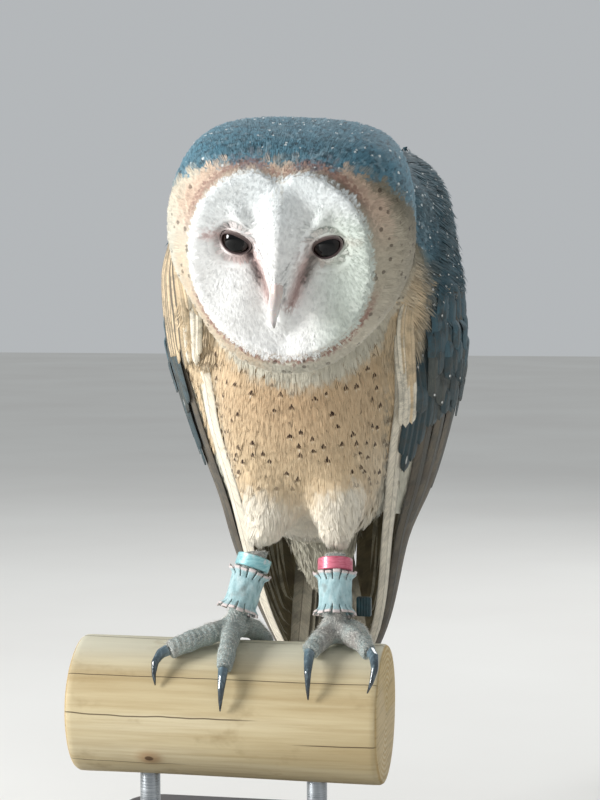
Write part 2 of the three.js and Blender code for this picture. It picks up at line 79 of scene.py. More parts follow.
def new_object(name, points, faces, smooth=True):
    """A mesh object from an array of points and one of faces, all of which have equally many corners."""
    mesh = bpy.data.meshes.new(name)
    faces = np.asarray(faces, np.int32)
    count, corners = faces.shape
    mesh.vertices.add(len(points))
    mesh.vertices.foreach_set("co", np.asarray(points, np.float32).ravel())
    mesh.loops.add(faces.size)
    mesh.loops.foreach_set("vertex_index", faces.ravel())
    mesh.polygons.add(count)
    mesh.polygons.foreach_set("loop_start", np.arange(0, faces.size, corners, dtype=np.int32))
    mesh.polygons.foreach_set("use_smooth", np.full(count, smooth))
    mesh.update(calc_edges=True)
    made = bpy.data.objects.new(name, mesh)
    scene.collection.objects.link(made)
    return made


class Recipe:
    """A material's nodes, added one after another and linked as they are added."""

    def __init__(self, name, roughness=0.6, **sockets):
        self.material = bpy.data.materials.new(name)
        self.material.use_nodes = True
        self.nodes = self.material.node_tree.nodes
        self.links = self.material.node_tree.links
        self.shader = self.nodes["Principled BSDF"]
        self.shader.inputs["Roughness"].default_value = roughness
        for socket, value in sockets.items():
            self.shader.inputs[socket.replace("_", " ")].default_value = value

    def feed(self, socket, value):
        if isinstance(value, bpy.types.NodeSocket):
            self.links.new(value, socket)
        elif isinstance(value, str):
            socket.default_value = (*color(value), 1)
        elif value is not None:
            socket.default_value = value

    def node(self, kind, out=0, settings=None, **inputs):
        made = self.nodes.new(kind)
        for key, value in (settings or {}).items():
            setattr(made, key, value)
        for key, value in inputs.items():
            self.feed(made.inputs[int(key[1:]) if key[1:].isdigit() else key], value)
        return made.outputs[out]

    def math(self, operation, a, b=None):
        return self.node("ShaderNodeMath", settings={"operation": operation}, i0=a, i1=b)

    def times(self, *shares):
        product = shares[0]
        for share in shares[1:]:
            product = self.math("MULTIPLY", product, share)
        return product

    def plus(self, a, b):
        return self.math("ADD", a, b)

    def minus(self, a, b):
        return self.math("SUBTRACT", a, b)

    def off_middle(self, a, a_middle, a_half, b, b_middle, b_half):
        """How far out from the middle of an ellipse a point lies, with 1 at its edge."""
        across = self.math("POWER", self.math("DIVIDE", self.minus(a, a_middle), a_half), 2.0)
        along = self.math("POWER", self.math("DIVIDE", self.minus(b, b_middle), b_half), 2.0)
        return self.math("SQRT", self.plus(across, along))

    def attribute(self, name, out="Fac"):
        return self.node("ShaderNodeAttribute", out, {"attribute_name": name})

    def parts(self, name):
        """The three numbers of a vector that the points carry."""
        vector = self.attribute(name, "Vector")
        return [self.node("ShaderNodeSeparateXYZ", k, Vector=vector) for k in range(3)]

    def marks(self):
        """The four marks that the points of a feather carry."""
        three = self.node("ShaderNodeSeparateColor", Color=self.attribute("marks", "Color")).node.outputs
        return three[0], three[1], three[2], self.attribute("marks", "Alpha")

    def shaded(self, base, shade):
        grey = self.node("ShaderNodeCombineColor", i0=shade, i1=shade, i2=shade)
        return self.mix(1.0, base, grey, "MULTIPLY")

    def mix(self, share, a, b, blend="MIX"):
        settings = {"data_type": "RGBA", "blend_type": blend}
        return self.node("ShaderNodeMix", 2, settings, i0=share, i6=a, i7=b)

    def paint(self, base, code, *shares):
        """A colour laid over the base by the product of the shares."""
        return self.mix(self.times(*shares), base, code)

    def ramp(self, value, *stops):
        """A colour ramp through stops of (place, colour code)."""
        made = self.nodes.new("ShaderNodeValToRGB")
        elements = made.color_ramp.elements
        for _ in range(len(stops) - 2):
            elements.new(0.5)
        for element, (place, code) in zip(elements, stops):
            element.position = place
            element.color = (*color(code), 1)
        self.feed(made.inputs[0], value)
        return made.outputs[0]

    def band(self, value, low, high, start=0.0, end=1.0):
        """How far value has gone from low to high, eased at both ends."""
        settings = {"interpolation_type": "SMOOTHSTEP"}
        return self.node("ShaderNodeMapRange", 0, settings, i0=value, i1=low, i2=high, i3=start, i4=end)

    def noise(self, place, scale, detail=2.0, rough=0.5, out=0):
        return self.node("ShaderNodeTexNoise", out, Vector=place, Scale=scale, Detail=detail, Roughness=rough)

    def stretch(self, place, x, y, z):
        return self.node("ShaderNodeVectorMath", 0, {"operation": "MULTIPLY"}, i0=place, i1=(x, y, z))

    def place(self):
        return self.node("ShaderNodeTexCoord", "Object")

    def grain(self, scales, detail=2.0, rough=0.5):
        """Noise drawn out by a scale of its own along each axis."""
        return self.noise(self.stretch(self.place(), *scales), 1.0, detail, rough)

    def bump(self, height, strength, distance, after=None):
        return self.node(
            "ShaderNodeBump", 0, Height=height, Strength=strength, Distance=distance, Normal=after)

    def done(self, base, roughness=None, normal=None):
        for name, value in (("Base Color", base), ("Roughness", roughness), ("Normal", normal)):
            self.feed(self.shader.inputs[name], value)
        return self.material


FLOOR_HALF = 6.0
corners = [(x * FLOOR_HALF, y * FLOOR_HALF, 0) for x, y in ((-1, -1), (1, -1), (1, 1), (-1, 1))]
floor = new_object("floor", corners, [[0, 1, 2, 3]], smooth=False)
paint = Recipe("floor_paint", 0.9, Specular_IOR_Level=0.0)
mottle = paint.noise(paint.place(), 3.0, 4.0)
floor.data.materials.append(paint.done(paint.ramp(mottle, (0.3, "#e6e4e0"), (0.7, "#ecebe7"))))

scene.world = bpy.data.worlds.new("studio")
scene.world.use_nodes = True
backdrop = scene.world.node_tree.nodes["Background"].inputs
backdrop["Color"].default_value = (*color("#dfe3e6"), 1)
backdrop["Strength"].default_value = 0.62
SOFT_BOXES = [  # place from the aim, size, watts
    ((-1.12, -0.62, 0.28), 0.45, 19),
    ((0.95, -0.55, 0.15), 0.9, 0.5),
    ((0.35, 0.9, 0.8), 0.6, 6),
]
for place, size, watts in SOFT_BOXES:
    lamp = bpy.data.lights.new("soft_box", "AREA")
    lamp.shape = "DISK"
    lamp.size, lamp.energy = size, watts
    box_light = bpy.data.objects.new("soft_box", lamp)
    box_light.location = aim + Vector(place)
    box_light.rotation_euler = Vector(place).to_track_quat("Z", "Y").to_euler()
    scene.collection.objects.link(box_light)

# ---------- Skin ----------
# One thin hide covers the whole bird from crown to toes and is what every small feather grows from.
# It lies inside the coat by the feathers' depth, is bare and scaly on the feet, and folds into lids
# round the eyes.
DISC = {"half_width": 37, "top": 40, "bottom": 38.5, "rim": -33, "dish": 4.5, "cleft": 5}
EYE = {"radius": 8.2, "across": 18.4, "behind": -22.7, "height": 8.5}
LID = {"half_long": 5.7, "half_high": 3.3, "slant": 24, "sides": 56}
RIDGE_HEIGHTS = [-29, -23, -14, -5, 4, 20, 29, 35]  # up the face's middle line
RIDGE_FRONTS = [-31, -34.5, -39, -42.6, -41.4, -37.6, -34.4, -31]
RIDGE_HALVES = [4, 3.5, 3.4, 4.6, 6.2, 6, 5, 3]
head_pose = (
    Matrix.Translation(STANCE + Vector((10.2, -30.2, 171.3)) * MM)
    @ Matrix.Rotation(math.radians(3), 4, "Y")
    @ Matrix.Rotation(math.radians(21), 4, "X")
)
head_turn = np.array(head_pose.to_3x3())
head_place = np.array(head_pose.translation)


def in_head(points):
    """World points as millimetres in the head's own frame, which faces -Y."""
    return (points - head_place) @ head_turn / MM


def from_head(points):
    return np.asarray(points) * MM @ head_turn.T + head_place


def in_body(points):
    """World points as millimetres from the rail's top line between the feet."""
    return (points - np.array(STANCE)) / MM


def head_part(q, b):
    """How far each point belongs to the head: what is high up, and the disc's chin below that."""
    chin = ease(-q[:, 1], 8, 16) * ease(q[:, 2], -55, -50)
    return np.maximum(ease(b[:, 2], 128, 150), chin) * (1 - ease(q[:, 1], 44, 58))


def ease(value, low, high):
    t = np.clip((value - low) / (high - low), 0, 1)
    return t * t * (3 - 2 * t)


def bell(value, middle, width):
    return np.exp(-(((value - middle) / width) ** 2))


def near_line(x, z, start, end, width):
    """1 on the line from start to end, fading out to its sides over about the width."""
    run = np.array(end, float) - start
    along = np.clip(((x - start[0]) * run[0] + (z - start[1]) * run[1]) / (run @ run), 0, 1)
    return bell(np.hypot(x - start[0] - along * run[0], z - start[1] - along * run[1]), 0, width)


def disc_share(x, z):
    """How far out from the facial disc's middle a point lies, with 1 at the heart-shaped rim."""
    angle = np.arctan2(z, x)
    c, s = np.abs(np.cos(angle)), np.sin(angle)
    square = np.where(s > 0, 2.4, 2.0)
    reach = np.where(s > 0, DISC["top"], DISC["bottom"])
    rim = ((c / DISC["half_width"]) ** square + (np.abs(s) / reach) ** square) ** (-1 / square)
    rim = rim - np.where(s > 0, DISC["cleft"] * np.exp(-((c / 0.16) ** 2)), 0)
    return np.hypot(x, z) / rim


def from_almond(x, z):
    """How far out from the nearer eye's middle a point lies, with 1 at the lids' margin."""
    slant = math.radians(LID["slant"])
    x, z = np.abs(x) - EYE["across"], z - EYE["height"]
    u, v = x * math.cos(slant) + z * math.sin(slant), z * math.cos(slant) - x * math.sin(slant)
    return np.hypot(u / LID["half_long"], v / LID["half_high"])


def face_front(x, z):
    """How far forward the face's surface is: a shallow dish with a ridge down to the bill, a soft
    crest over each eye, a groove from each eye's inner corner, and full cheeks."""
    share = disc_share(x, z)
    dish = DISC["rim"] + DISC["dish"] * (1 - np.clip(share, 0, 1) ** 2)
    front = np.interp(z, RIDGE_HEIGHTS, RIDGE_FRONTS)
    half = np.interp(z, RIDGE_HEIGHTS, RIDGE_HALVES)
    on_line = disc_share(np.zeros_like(x), z)
    middle = DISC["rim"] + DISC["dish"] * (1 - np.clip(on_line, 0, 1) ** 2)
    ridge = (front - middle) * np.exp(-((np.abs(x) / (1.15 * half)) ** 2.2))
    crest_x = 7.5 + 9.5 * np.clip((z - 1) / 21, 0, 1.15)
    crest = -3.0 * bell(np.abs(x), crest_x, 2.4) * ease(z, -4, 5) * (1 - ease(z, 19, 27))
    from_eye = np.hypot(np.abs(x) - EYE["across"], z - EYE["height"])
    behind_lid = 4.6 * (1 - ease(from_almond(x, z), 1.0, 1.35))
    socket = EYE["behind"] - np.sqrt(np.maximum(EYE["radius"] ** 2 - from_eye**2, 1)) - 1.9 + behind_lid
    round_eye = (socket - dish - crest) * (1 - ease(from_eye, 6.2, 9.5))
    groove = 1.3 * near_line(np.abs(x), z, (12.0, 4.0), (6.5, -9), 2.2)
    cheek = -2.6 * bell(np.abs(x), 16, 9) * bell(z, -17, 12)
    return dish + ridge + crest + round_eye + groove + cheek


def drawn_in(points):
    """The points with the wings held a few millimetres closer to the flanks."""
    b = in_body(points)
    x, z = b[:, 0] - 4, b[:, 2]
    right, left = (np.interp(z, [0, 60, 110, 165], moves) for moves in ([4, 5, 6, 0], [5, 4.5, 3.5, 0]))
    b[:, 0] -= np.sign(x) * np.where(x < 0, right, left) * ease(np.abs(x), 24, 42)
    return b * MM + np.array(STANCE)


def triangles_of(names):
    """The CAD nodes' points and triangles as one soup, and which node each triangle is from."""
    points, faces, origin, count = [], [], [], 0
    for label, name in enumerate(names):
        mesh = cad[name].data
        mesh.calc_loop_triangles()
        co = np.zeros(len(mesh.vertices) * 3)
        mesh.vertices.foreach_get("co", co)
        tris = np.zeros(len(mesh.loop_triangles) * 3, np.int32)
        mesh.loop_triangles.foreach_get("vertices", tris)
        points.append(co.reshape(-1, 3))
        faces.append(tris.reshape(-1, 3) + count)
        origin.append(np.full(len(tris) // 3, label))
        count += len(mesh.vertices)
    return drawn_in(np.concatenate(points)), np.concatenate(faces), np.concatenate(origin)


def fused(names, voxel, rounds):
    """The named nodes as one surface of small squares, smoothed over that many rounds."""
    points, faces, _ = triangles_of(names)
    rough = new_object("rough", points, faces)
    fuse = rough.modifiers.new("fuse", "REMESH")
    fuse.mode, fuse.voxel_size = "VOXEL", voxel
    mesh = bpy.data.meshes.new_from_object(rough.evaluated_get(bpy.context.evaluated_depsgraph_get()))
    co = np.zeros(len(mesh.vertices) * 3)
    mesh.vertices.foreach_get("co", co)
    quads = np.zeros(len(mesh.loops), np.int32)
    mesh.loops.foreach_get("vertex_index", quads)
    bpy.data.objects.remove(rough)
    bpy.data.meshes.remove(mesh)
    co, quads = co.reshape(-1, 3), quads.reshape(-1, 4)
    co = smoothed(co, quads, rounds)
    shell = np.arange(len(co))  # the lowest point number that each point is joined to
    while True:
        lowest = shell.copy()
        for corner in range(4):
            np.minimum.at(lowest, quads[:, corner], shell[quads[:, corner - 1]])
            np.minimum.at(lowest, quads[:, corner - 1], shell[quads[:, corner]])
        lowest = lowest[lowest]
        if (lowest == shell).all():
            break
        shell = lowest
    names, sizes = np.unique(shell, return_counts=True)
    quads = quads[np.isin(shell[quads[:, 0]], names[sizes > 2000])]  # without bubbles shut inside
    used, places = np.unique(quads, return_inverse=True)
    return co[used], places.reshape(quads.shape)


def smoothed(co, quads, rounds, share=0.6):
    """Each point moved towards the mean of its neighbours, round after round."""
    a = quads.ravel()
    b = np.roll(quads, -1, axis=1).ravel()
    count = np.bincount(a, minlength=len(co))[:, None]
    for _ in range(rounds):
        mean = np.stack([np.bincount(a, co[b, k], len(co)) for k in range(3)], 1) / count
        co = co + share * (mean - co)
    return co


def bridged(co, quads, where, times, rounds):
    """The surface with its hollows filled out, as loose hide is drawn across them."""
    for _ in range(times):
        calm = smoothed(co, quads, rounds)
        dent = ((calm - co) * normals_of(co, quads)).sum(1) / MM
        co = co + (calm - co) * (where * ease(dent, 0.0, 0.3))[:, None]
    return co


def normals_of(co, quads):
    cross = np.cross(co[quads[:, 2]] - co[quads[:, 0]], co[quads[:, 3]] - co[quads[:, 1]])
    total = np.zeros_like(co)
    for corner in range(quads.shape[1]):
        for k in range(3):
            total[:, k] += np.bincount(quads[:, corner], cross[:, k], len(co))
    return unit(total)


def unit(vectors):
    return vectors / np.maximum(np.linalg.norm(vectors, axis=-1, keepdims=True), 1e-12)


SIDES = (("right", -1), ("left", 1))
DIGITS = ("inner", "middle", "outer", "hind")
FLESH = ["head", "facial_disc", "neck", "trunk", "rump", "thigh_right", "thigh_left"]
FLESH += [f"wing_{side}_{part}" for side, _ in SIDES for part in ("arm", "hand")]
BARE = [f"{part}_{side}" for side, _ in SIDES for part in ("shank", "foot")]
BARE += [f"toe_{side}_{digit}" for side, _ in SIDES for digit in DIGITS]

body_points, body_quads = fused(FLESH, 1.6 * MM, 30)
q, b = in_head(body_points), in_body(body_points)
nape = ease(b[:, 2], 126, 148) * ease(q[:, 1], 4, 16)
behind_rim = ease(disc_share(q[:, 0], q[:, 2]), 1.0, 1.06) * ease(q[:, 2], -20, 0) * (q[:, 1] < 10)
body_points = bridged(body_points, body_quads, np.maximum(nape, behind_rim), 7, 50)
shoulder_top = ease(b[:, 2], 200, 209) * ease(b[:, 1], 12, 28)
body_points = body_points + (smoothed(body_points, body_quads, 70) - body_points) * shoulder_top[:, None]
body_normals = normals_of(body_points, body_quads)
q = in_head(body_points)
on_face = (disc_share(q[:, 0], q[:, 2]) < 1.0) & (q[:, 1] < -14)
coat_depth = np.where(on_face, 0, 2.4) * MM
body_points = body_points - body_normals * coat_depth[:, None]
q = in_head(body_points)
share = disc_share(q[:, 0], q[:, 2])
faceward = (q[:, 1] < -14) * (1 - ease(share, 0.93, 1.03))
flesh_front = face_front(q[:, 0], q[:, 2]) + 1.0
q[:, 1] += faceward * (flesh_front - q[:, 1])
body_points = smoothed(from_head(q), body_quads, 2, 0.4)
body_normals = normals_of(body_points, body_quads)

# The bare legs: knuckles along each toe, rows of scutes over its top and grains elsewhere.
leg_points, leg_quads = fused(BARE, 0.62 * MM, 6)
leg_normals = normals_of(leg_points, leg_quads)
q = in_body(leg_points)
ankles = {side: sum(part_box(f"foot_{side}"), Vector()) / 2 for side, _ in SIDES}
ankle = np.where(q[:, :1] < 4, *([in_body(np.array(ankles[side]))] for side, _ in SIDES))
reach = np.hypot(q[:, 0] - ankle[:, 0], q[:, 1] - ankle[:, 1])
on_toe = ease(reach, 6, 9) * (1 - ease(q[:, 2], 9, 13))
topside = np.clip(leg_normals[:, 2] * 0.7 - leg_normals[:, 1] * 0.5 + 0.35, 0, 1)
scute = np.abs(np.sin(np.pi * reach / 2.3)) ** 0.5
knuckle = bell(reach, 11, 2.6) + bell(reach, 20, 2.6) + 0.7 * bell(reach, 28, 2.2)
height = 0.6 * on_toe * topside * (scute - 0.6) + 0.45 * on_toe * (knuckle - 0.4)
leg_points = leg_points + leg_normals * (height * MM)[:, None]
leg_normals = normals_of(leg_points, leg_quads)

# The lids: over and under each eye a fold of hide that lies on the eyeball, with a rounded margin.
# The almond between them slants down towards the bill.
LID_RINGS = [(0.0, -0.15), (0.02, 0.2), (0.12, 0.45), (0.25, 0.3), (0.42, -0.5), (0.7, -2.2), (1.0, -4.0)]


def lid(side):
    """The ring of hide round one eye, from the margin out to where it sinks into the face."""
    slant = math.radians(LID["slant"])
    turned = np.array([[math.cos(slant), math.sin(slant)], [-math.sin(slant), math.cos(slant)]])
    turn = np.linspace(0, 2 * np.pi, LID["sides"], endpoint=False)
    c, s = np.cos(turn), np.sin(turn)
    high = np.where(s > 0, 0.92, 1.08) * LID["half_high"]
    inner = np.stack([LID["half_long"] * np.sign(c) * np.abs(c) ** 0.85, high * s * np.abs(s) ** 0.12], 1)
    outer = 7.9 * np.stack([c, s], 1)
    rings = []
    for share_out, proud in LID_RINGS:
        along = (inner + (outer - inner) * share_out) @ turned
        depth = np.sqrt(np.maximum((EYE["radius"] + proud) ** 2 - (along**2).sum(1), 0.5))
        x, z = side * (EYE["across"] + along[:, 0]), EYE["height"] + along[:, 1]
        rings.append(np.stack([x, EYE["behind"] - depth, z], 1))
    faces = grid_faces(len(rings), LID["sides"], closed=True)[:, [0, 3, 2, 1]]
    return from_head(np.concatenate(rings)), faces if side > 0 else faces[:, ::-1]


def grid_faces(rows, columns, closed=False):
    """The squares between a grid's points, going round to its first column again if it is closed."""
    index = np.arange(rows * columns).reshape(rows, columns)
    if closed:
        index = np.concatenate([index, index[:, :1]], 1)
    return np.stack([index[:-1, :-1], index[1:, :-1], index[1:, 1:], index[:-1, 1:]], 2).reshape(-1, 4)


# ---------- Plumage: where each colour lies ----------
# The same zones colour the skin and the feathers over it: a white face in a rusty rim, a slate cap,
# nape and mantle, a buff breast, and cream to white on the thighs and under the tail.
TONES = {
    "white": "#f7f7f5",
    "cool_white": "#dfe8ea",
    "cream": "#ede4d0",
    "buff": "#dac3a0",
    "warm_buff": "#cca983",
    "rust": "#9a7268",
    "peach": "#d9bfa9",
    "pink": "#cda59e",
    "slate": "#588597",
    "deep_slate": "#2b4249",
    "olive": "#867c63",
    "umber": "#5c5846",
    "sand": "#dcb88f",
    "shade": "#c9c4b2",
    "pale_shade": "#d2cfbf",
    "painted_shade_green": "#c3cfc2",
    "down_shade": "#c8c6b8",
    "down": "#efe7d6",
    "lid": "#483a3b",
}
TONES = {name: np.array(color(code)) for name, code in TONES.items()}


def tint(base, *layers):
    """The colours blended towards named ones in turn, each by a share at each point."""
    for share, name in layers:
        share = np.broadcast_to(np.clip(share, 0, 1), len(base))
        base = base + (TONES[name] - base) * share[:, None]
    return base


def evenly(name, count):
    return np.tile(TONES[name], (count, 1))


def cap_edge(x, y):
    """The height in the head's frame above which the cap is slate: level over the face, then
    falling towards the nape."""
    return 39.4 - 0.8 * np.maximum(0, y + 24) - 0.003 * x**2


def plumage_at(points, wing, thigh):
    """Colour and marks at points of the coat. wing and thigh say how far each is on one of those.
    The marks are the shares of arrowheads, white drops, fine speckles and dark streaks."""
    q, b = in_head(points), in_body(points)
    x, y, z = q.T
    share = disc_share(x, z)
    near = np.abs(x)
    wave = np.sin(points[:, 0] * 900) * np.sin(points[:, 2] * 700 + points[:, 1] * 500)
    head = head_part(q, b) * (1 - wing)
    count = len(points)

    # Trunk: warm buff in front, whiter towards the legs, slate behind.
    ruff = 1 - ease(share, 1.42, 1.54)
    back = ease(b[:, 1] + 0.5 * np.maximum(0, b[:, 2] - 150), 50, 66) * ease(b[:, 2], 70, 90)
    back = np.maximum(back, ease(y, 24, 36) * ease(b[:, 2], 138, 152))
    tone = tint(
        evenly("buff", count),
        (0.6 * bell(b[:, 2], 110, 24) * bell(b[:, 0], 6, 34), "warm_buff"),
        (1 - ease(b[:, 2], 44, 74), "down"),
        (0.35 * ease(np.abs(b[:, 0] - 4), 22, 40) * (1 - ease(b[:, 2], 80, 96)), "cream"),
        (0.9 * ruff, "pale_shade"),
        (back, "slate"),
        (0.75 * back, "deep_slate"),
        (thigh, "down"),
        (ease(b[:, 1], 30, 55) * (1 - ease(b[:, 2], 60, 80)), "shade"),
    )

    # Head: pale under the disc, cream to buff at its sides, slate cap and nape, with painted shade in olive
    # and umber on the owl's left side.
    side_head = 0.78 * tint(
        evenly("cream", count),
        (0.15 * ease(z, -30, 10), "buff"),
        (0.8 * (1 - ease(z, -46, -26)), "pale_shade"),
        (0.7 * ease(y, -26, 0) * ease(z, -34, -12), "olive"),
        # Painted shade: olive low on the owl's left side of the head.
        (0.3 * ease(x, 8, 30) * ease(z, -34, -12), "olive"),
    )
    over_edge = z - cap_edge(x, y)
    cap = ease(over_edge + 1.2 * wave, -1.5, 1.5)
    in_front = y < -10
    high = ease(z, 2, 26)
    arch = in_front * high * np.where(x > 0, 0.35 + 0.65 * ease(z, 20, 34), 1)
    lower_right = in_front * (1 - ease(z, -2, 14)) * ease(-x, 2, 12)
    side_head = tint(
        side_head,
        # Painted shade: umber under the cap's edge on the owl's left.
        (0.75 * bell(over_edge, -5, 9) * ease(x, 6, 22), "umber"),
        (0.65 * ease(-x, 12, 30) * (1 - ease(y, -16, 4)) * (1 - ease(z, 10, 24)), "down_shade"),
        (0.6 * ease(y, 14, 30) * (1 - cap), "olive"),
        (np.maximum(cap, 0.85 * ease(y, 24, 34)), "slate"),
        (0.6 * ease(y, 14, 38) * cap, "deep_slate"),
        (0.85 * bell(share, 1.09, 0.06) * in_front * high * (1 - cap), "peach"),
        (0.75 * bell(share, 1.03, 0.034) * arch, "rust"),
        (0.4 * bell(share, 1.07, 0.05) * lower_right, "sand"),
        (0.9 * bell(share, 1.02, 0.028) * in_front * (1 - ease(z, -22, -4)), "rust"),
    )

    # Face: white, cooler above, pinkish at the eyes' corners and beside the bill, with painted shade in the
    # cleft above the ridge and in pale green low on the owl's left side.
    eye_x, eye_z = near - EYE["across"], z - EYE["height"]
    face = tint(
        evenly("white", count),
        (0.55 * ease(z, 2, 34), "cool_white"),
        (0.6 * near_line(eye_x, eye_z, (6.0, 2.2), (11, 2.6), 1.6), "pink"),
        (0.45 * bell(eye_x, -1, 5) * bell(eye_z, -5.6, 2.2), "pink"),
        (0.8 * near_line(near, z, (11.5, 3.0), (5.0, -13), 2.6), "pink"),
        (0.35 * bell(from_almond(x, z), 1.35, 0.3), "pink"),
        (0.9 * near_line(near, z, (14.0, 5.2), (10.6, -4), 1.7), "lid"),
        (0.35 * near_line(near, z, (10.0, -1), (4.0, -15), 1.3), "lid"),
        (0.6 * bell(near, 0, 0.7) * ease(z, 20, 30), "shade"),
        # Painted shade: pale green over the lower face on the owl's left.
        (0.7 * ease(x, 7, 25) * (1 - ease(z, 14, 28)), "painted_shade_green"),
    )
    on_disc = (1 - ease(share, 0.97, 0.995)) * in_front
    side_head = side_head + (face - side_head) * on_disc[:, None]
    tone = tone + (side_head - tone) * head[:, None]

    # Wings: cream along the leading edge, buff over the wrist, slate over the shoulder and back.
    front = 1 - ease(b[:, 1] + 0.18 * (b[:, 2] - 100), -2, 13)
    shoulder = tint(
        evenly("slate", count),
        (0.75, "deep_slate"),
        (front * (1 - ease(b[:, 2], 168, 190)), "buff"),
        (0.8 * front * (1 - ease(b[:, 2], 110, 130)), "cream"),
    )
    tone = tone + (shoulder - tone) * wing[:, None]

    body = (1 - head) * (1 - wing)
    arrow = body * (1 - back) * (1 - thigh) * ease(b[:, 2], 62, 78) * (1 - ruff)
    drop = wing * (1 - front) + body * back + head * ease(y, 20, 34) * 0.7
    speckle = head * (1 - on_disc) * np.where(over_edge > -2, 0.35, 0.6)
    streak = head * cap
    return tone, np.stack([arrow, drop, speckle, streak], 1)


# ---------- The skin as one piece ----------
# The hide of body, legs and lids is one sheet, with its colours and marks kept at its points. It is
# dry hide under the down, and bare scales on the feet.
labelled_points, labelled_faces, labelled_origin = triangles_of(FLESH)
nearest_part = BVHTree.FromPolygons(labelled_points.tolist(), labelled_faces.tolist())
part_of = labelled_origin[[nearest_part.find_nearest(p)[2] for p in body_points.tolist()]]


def share_of(prefix):
    """How far each point of the skin belongs to the parts with that prefix, blurred at the border."""
    chosen = [label for label, name in enumerate(FLESH) if name.startswith(prefix)]
    share_there = np.isin(part_of, chosen).astype(float)
    return smoothed(np.repeat(share_there[:, None], 3, 1), body_quads, 8)[:, 0]


wing_share, thigh_share = share_of("wing"), share_of("thigh")
side_out = np.where(in_body(body_points)[:, 0] > 4, 1, -1)
height_there = in_body(body_points)[:, 2]
body_tone, body_marks = plumage_at(body_points, wing_share, thigh_share)
inward = 1 - ease(body_normals[:, 0] * side_out, 0.1, 0.4)
inner_wing = np.maximum(inward * (1 - ease(height_there, 150, 165)), 1 - ease(height_there, 70, 85))
inner_wing = wing_share * inner_wing
forward = wing_share * (1 - ease(body_normals[:, 1], -0.5, -0.3)) * (height_there < 158)
body_tone = tint(body_tone, (inner_wing, "pale_shade"), (forward * ease(height_there, 74, 90), "buff"))
body_marks = body_marks * (1 - inner_wing)[:, None]

leg_tone = np.tile(color("#a9aca3"), (len(leg_points), 1))
lid_parts = [lid(way) for _, way in SIDES]
skin_points, skin_faces = np.zeros((0, 3)), []
for points, faces in [(body_points, body_quads), (leg_points, leg_quads)] + lid_parts:
    skin_faces.append(faces + len(skin_points))
    skin_points = np.concatenate([skin_points, points])
skin = new_object("skin", skin_points, np.concatenate(skin_faces))


def store(piece, name, kind, values):
    """Keeps a value for each of a piece's points, for its material to read."""
    attribute = piece.data.attributes.new(name, kind, "POINT")
    key = {"FLOAT": "value", "FLOAT_VECTOR": "vector", "FLOAT_COLOR": "color"}[kind]
    attribute.data.foreach_set(key, np.ascontiguousarray(values, np.float32).ravel())


def opaque(tone):
    return np.concatenate([tone, np.ones((len(tone), 1))], 1)


dark_margin = np.repeat([1.0, 1.0, 1.0, 0.85, 0.45, 0.1, 0.0], LID["sides"])
lid_tone = tint(evenly("white", len(dark_margin)), (0.45, "pink"), (dark_margin, "lid"))
skin_tone = np.concatenate([body_tone, leg_tone, lid_tone, lid_tone])
skin_marks = np.zeros((len(skin_points), 4))
skin_marks[: len(body_points)] = body_marks
bare = np.zeros(len(skin_points))
bare[len(body_points) : len(body_points) + len(leg_points)] = 1
store(skin, "tone", "FLOAT_COLOR", opaque(skin_tone))
store(skin, "marks", "FLOAT_COLOR", skin_marks)
store(skin, "bare", "FLOAT", bare)
store(skin, "lay", "FLOAT_VECTOR", np.tile([0.55, 0.0, 0.5], (len(skin_points), 1)))

bpy.context.view_layer.objects.active = skin
skin.select_set(True)
bpy.ops.object.mode_set(mode="EDIT")
bpy.ops.mesh.select_all(action="SELECT")
bpy.ops.uv.smart_project(angle_limit=math.radians(66), island_margin=0.002)
bpy.ops.object.mode_set(mode="OBJECT")
skin.data.uv_layers[0].name = "OFBake"
skin_uv = np.zeros(len(skin.data.loops) * 2)
skin.data.uv_layers[0].data.foreach_get("uv", skin_uv)
skin_uv = skin_uv.reshape(-1, 4, 2).mean(1)  # one place on the unwrap for each square of skin


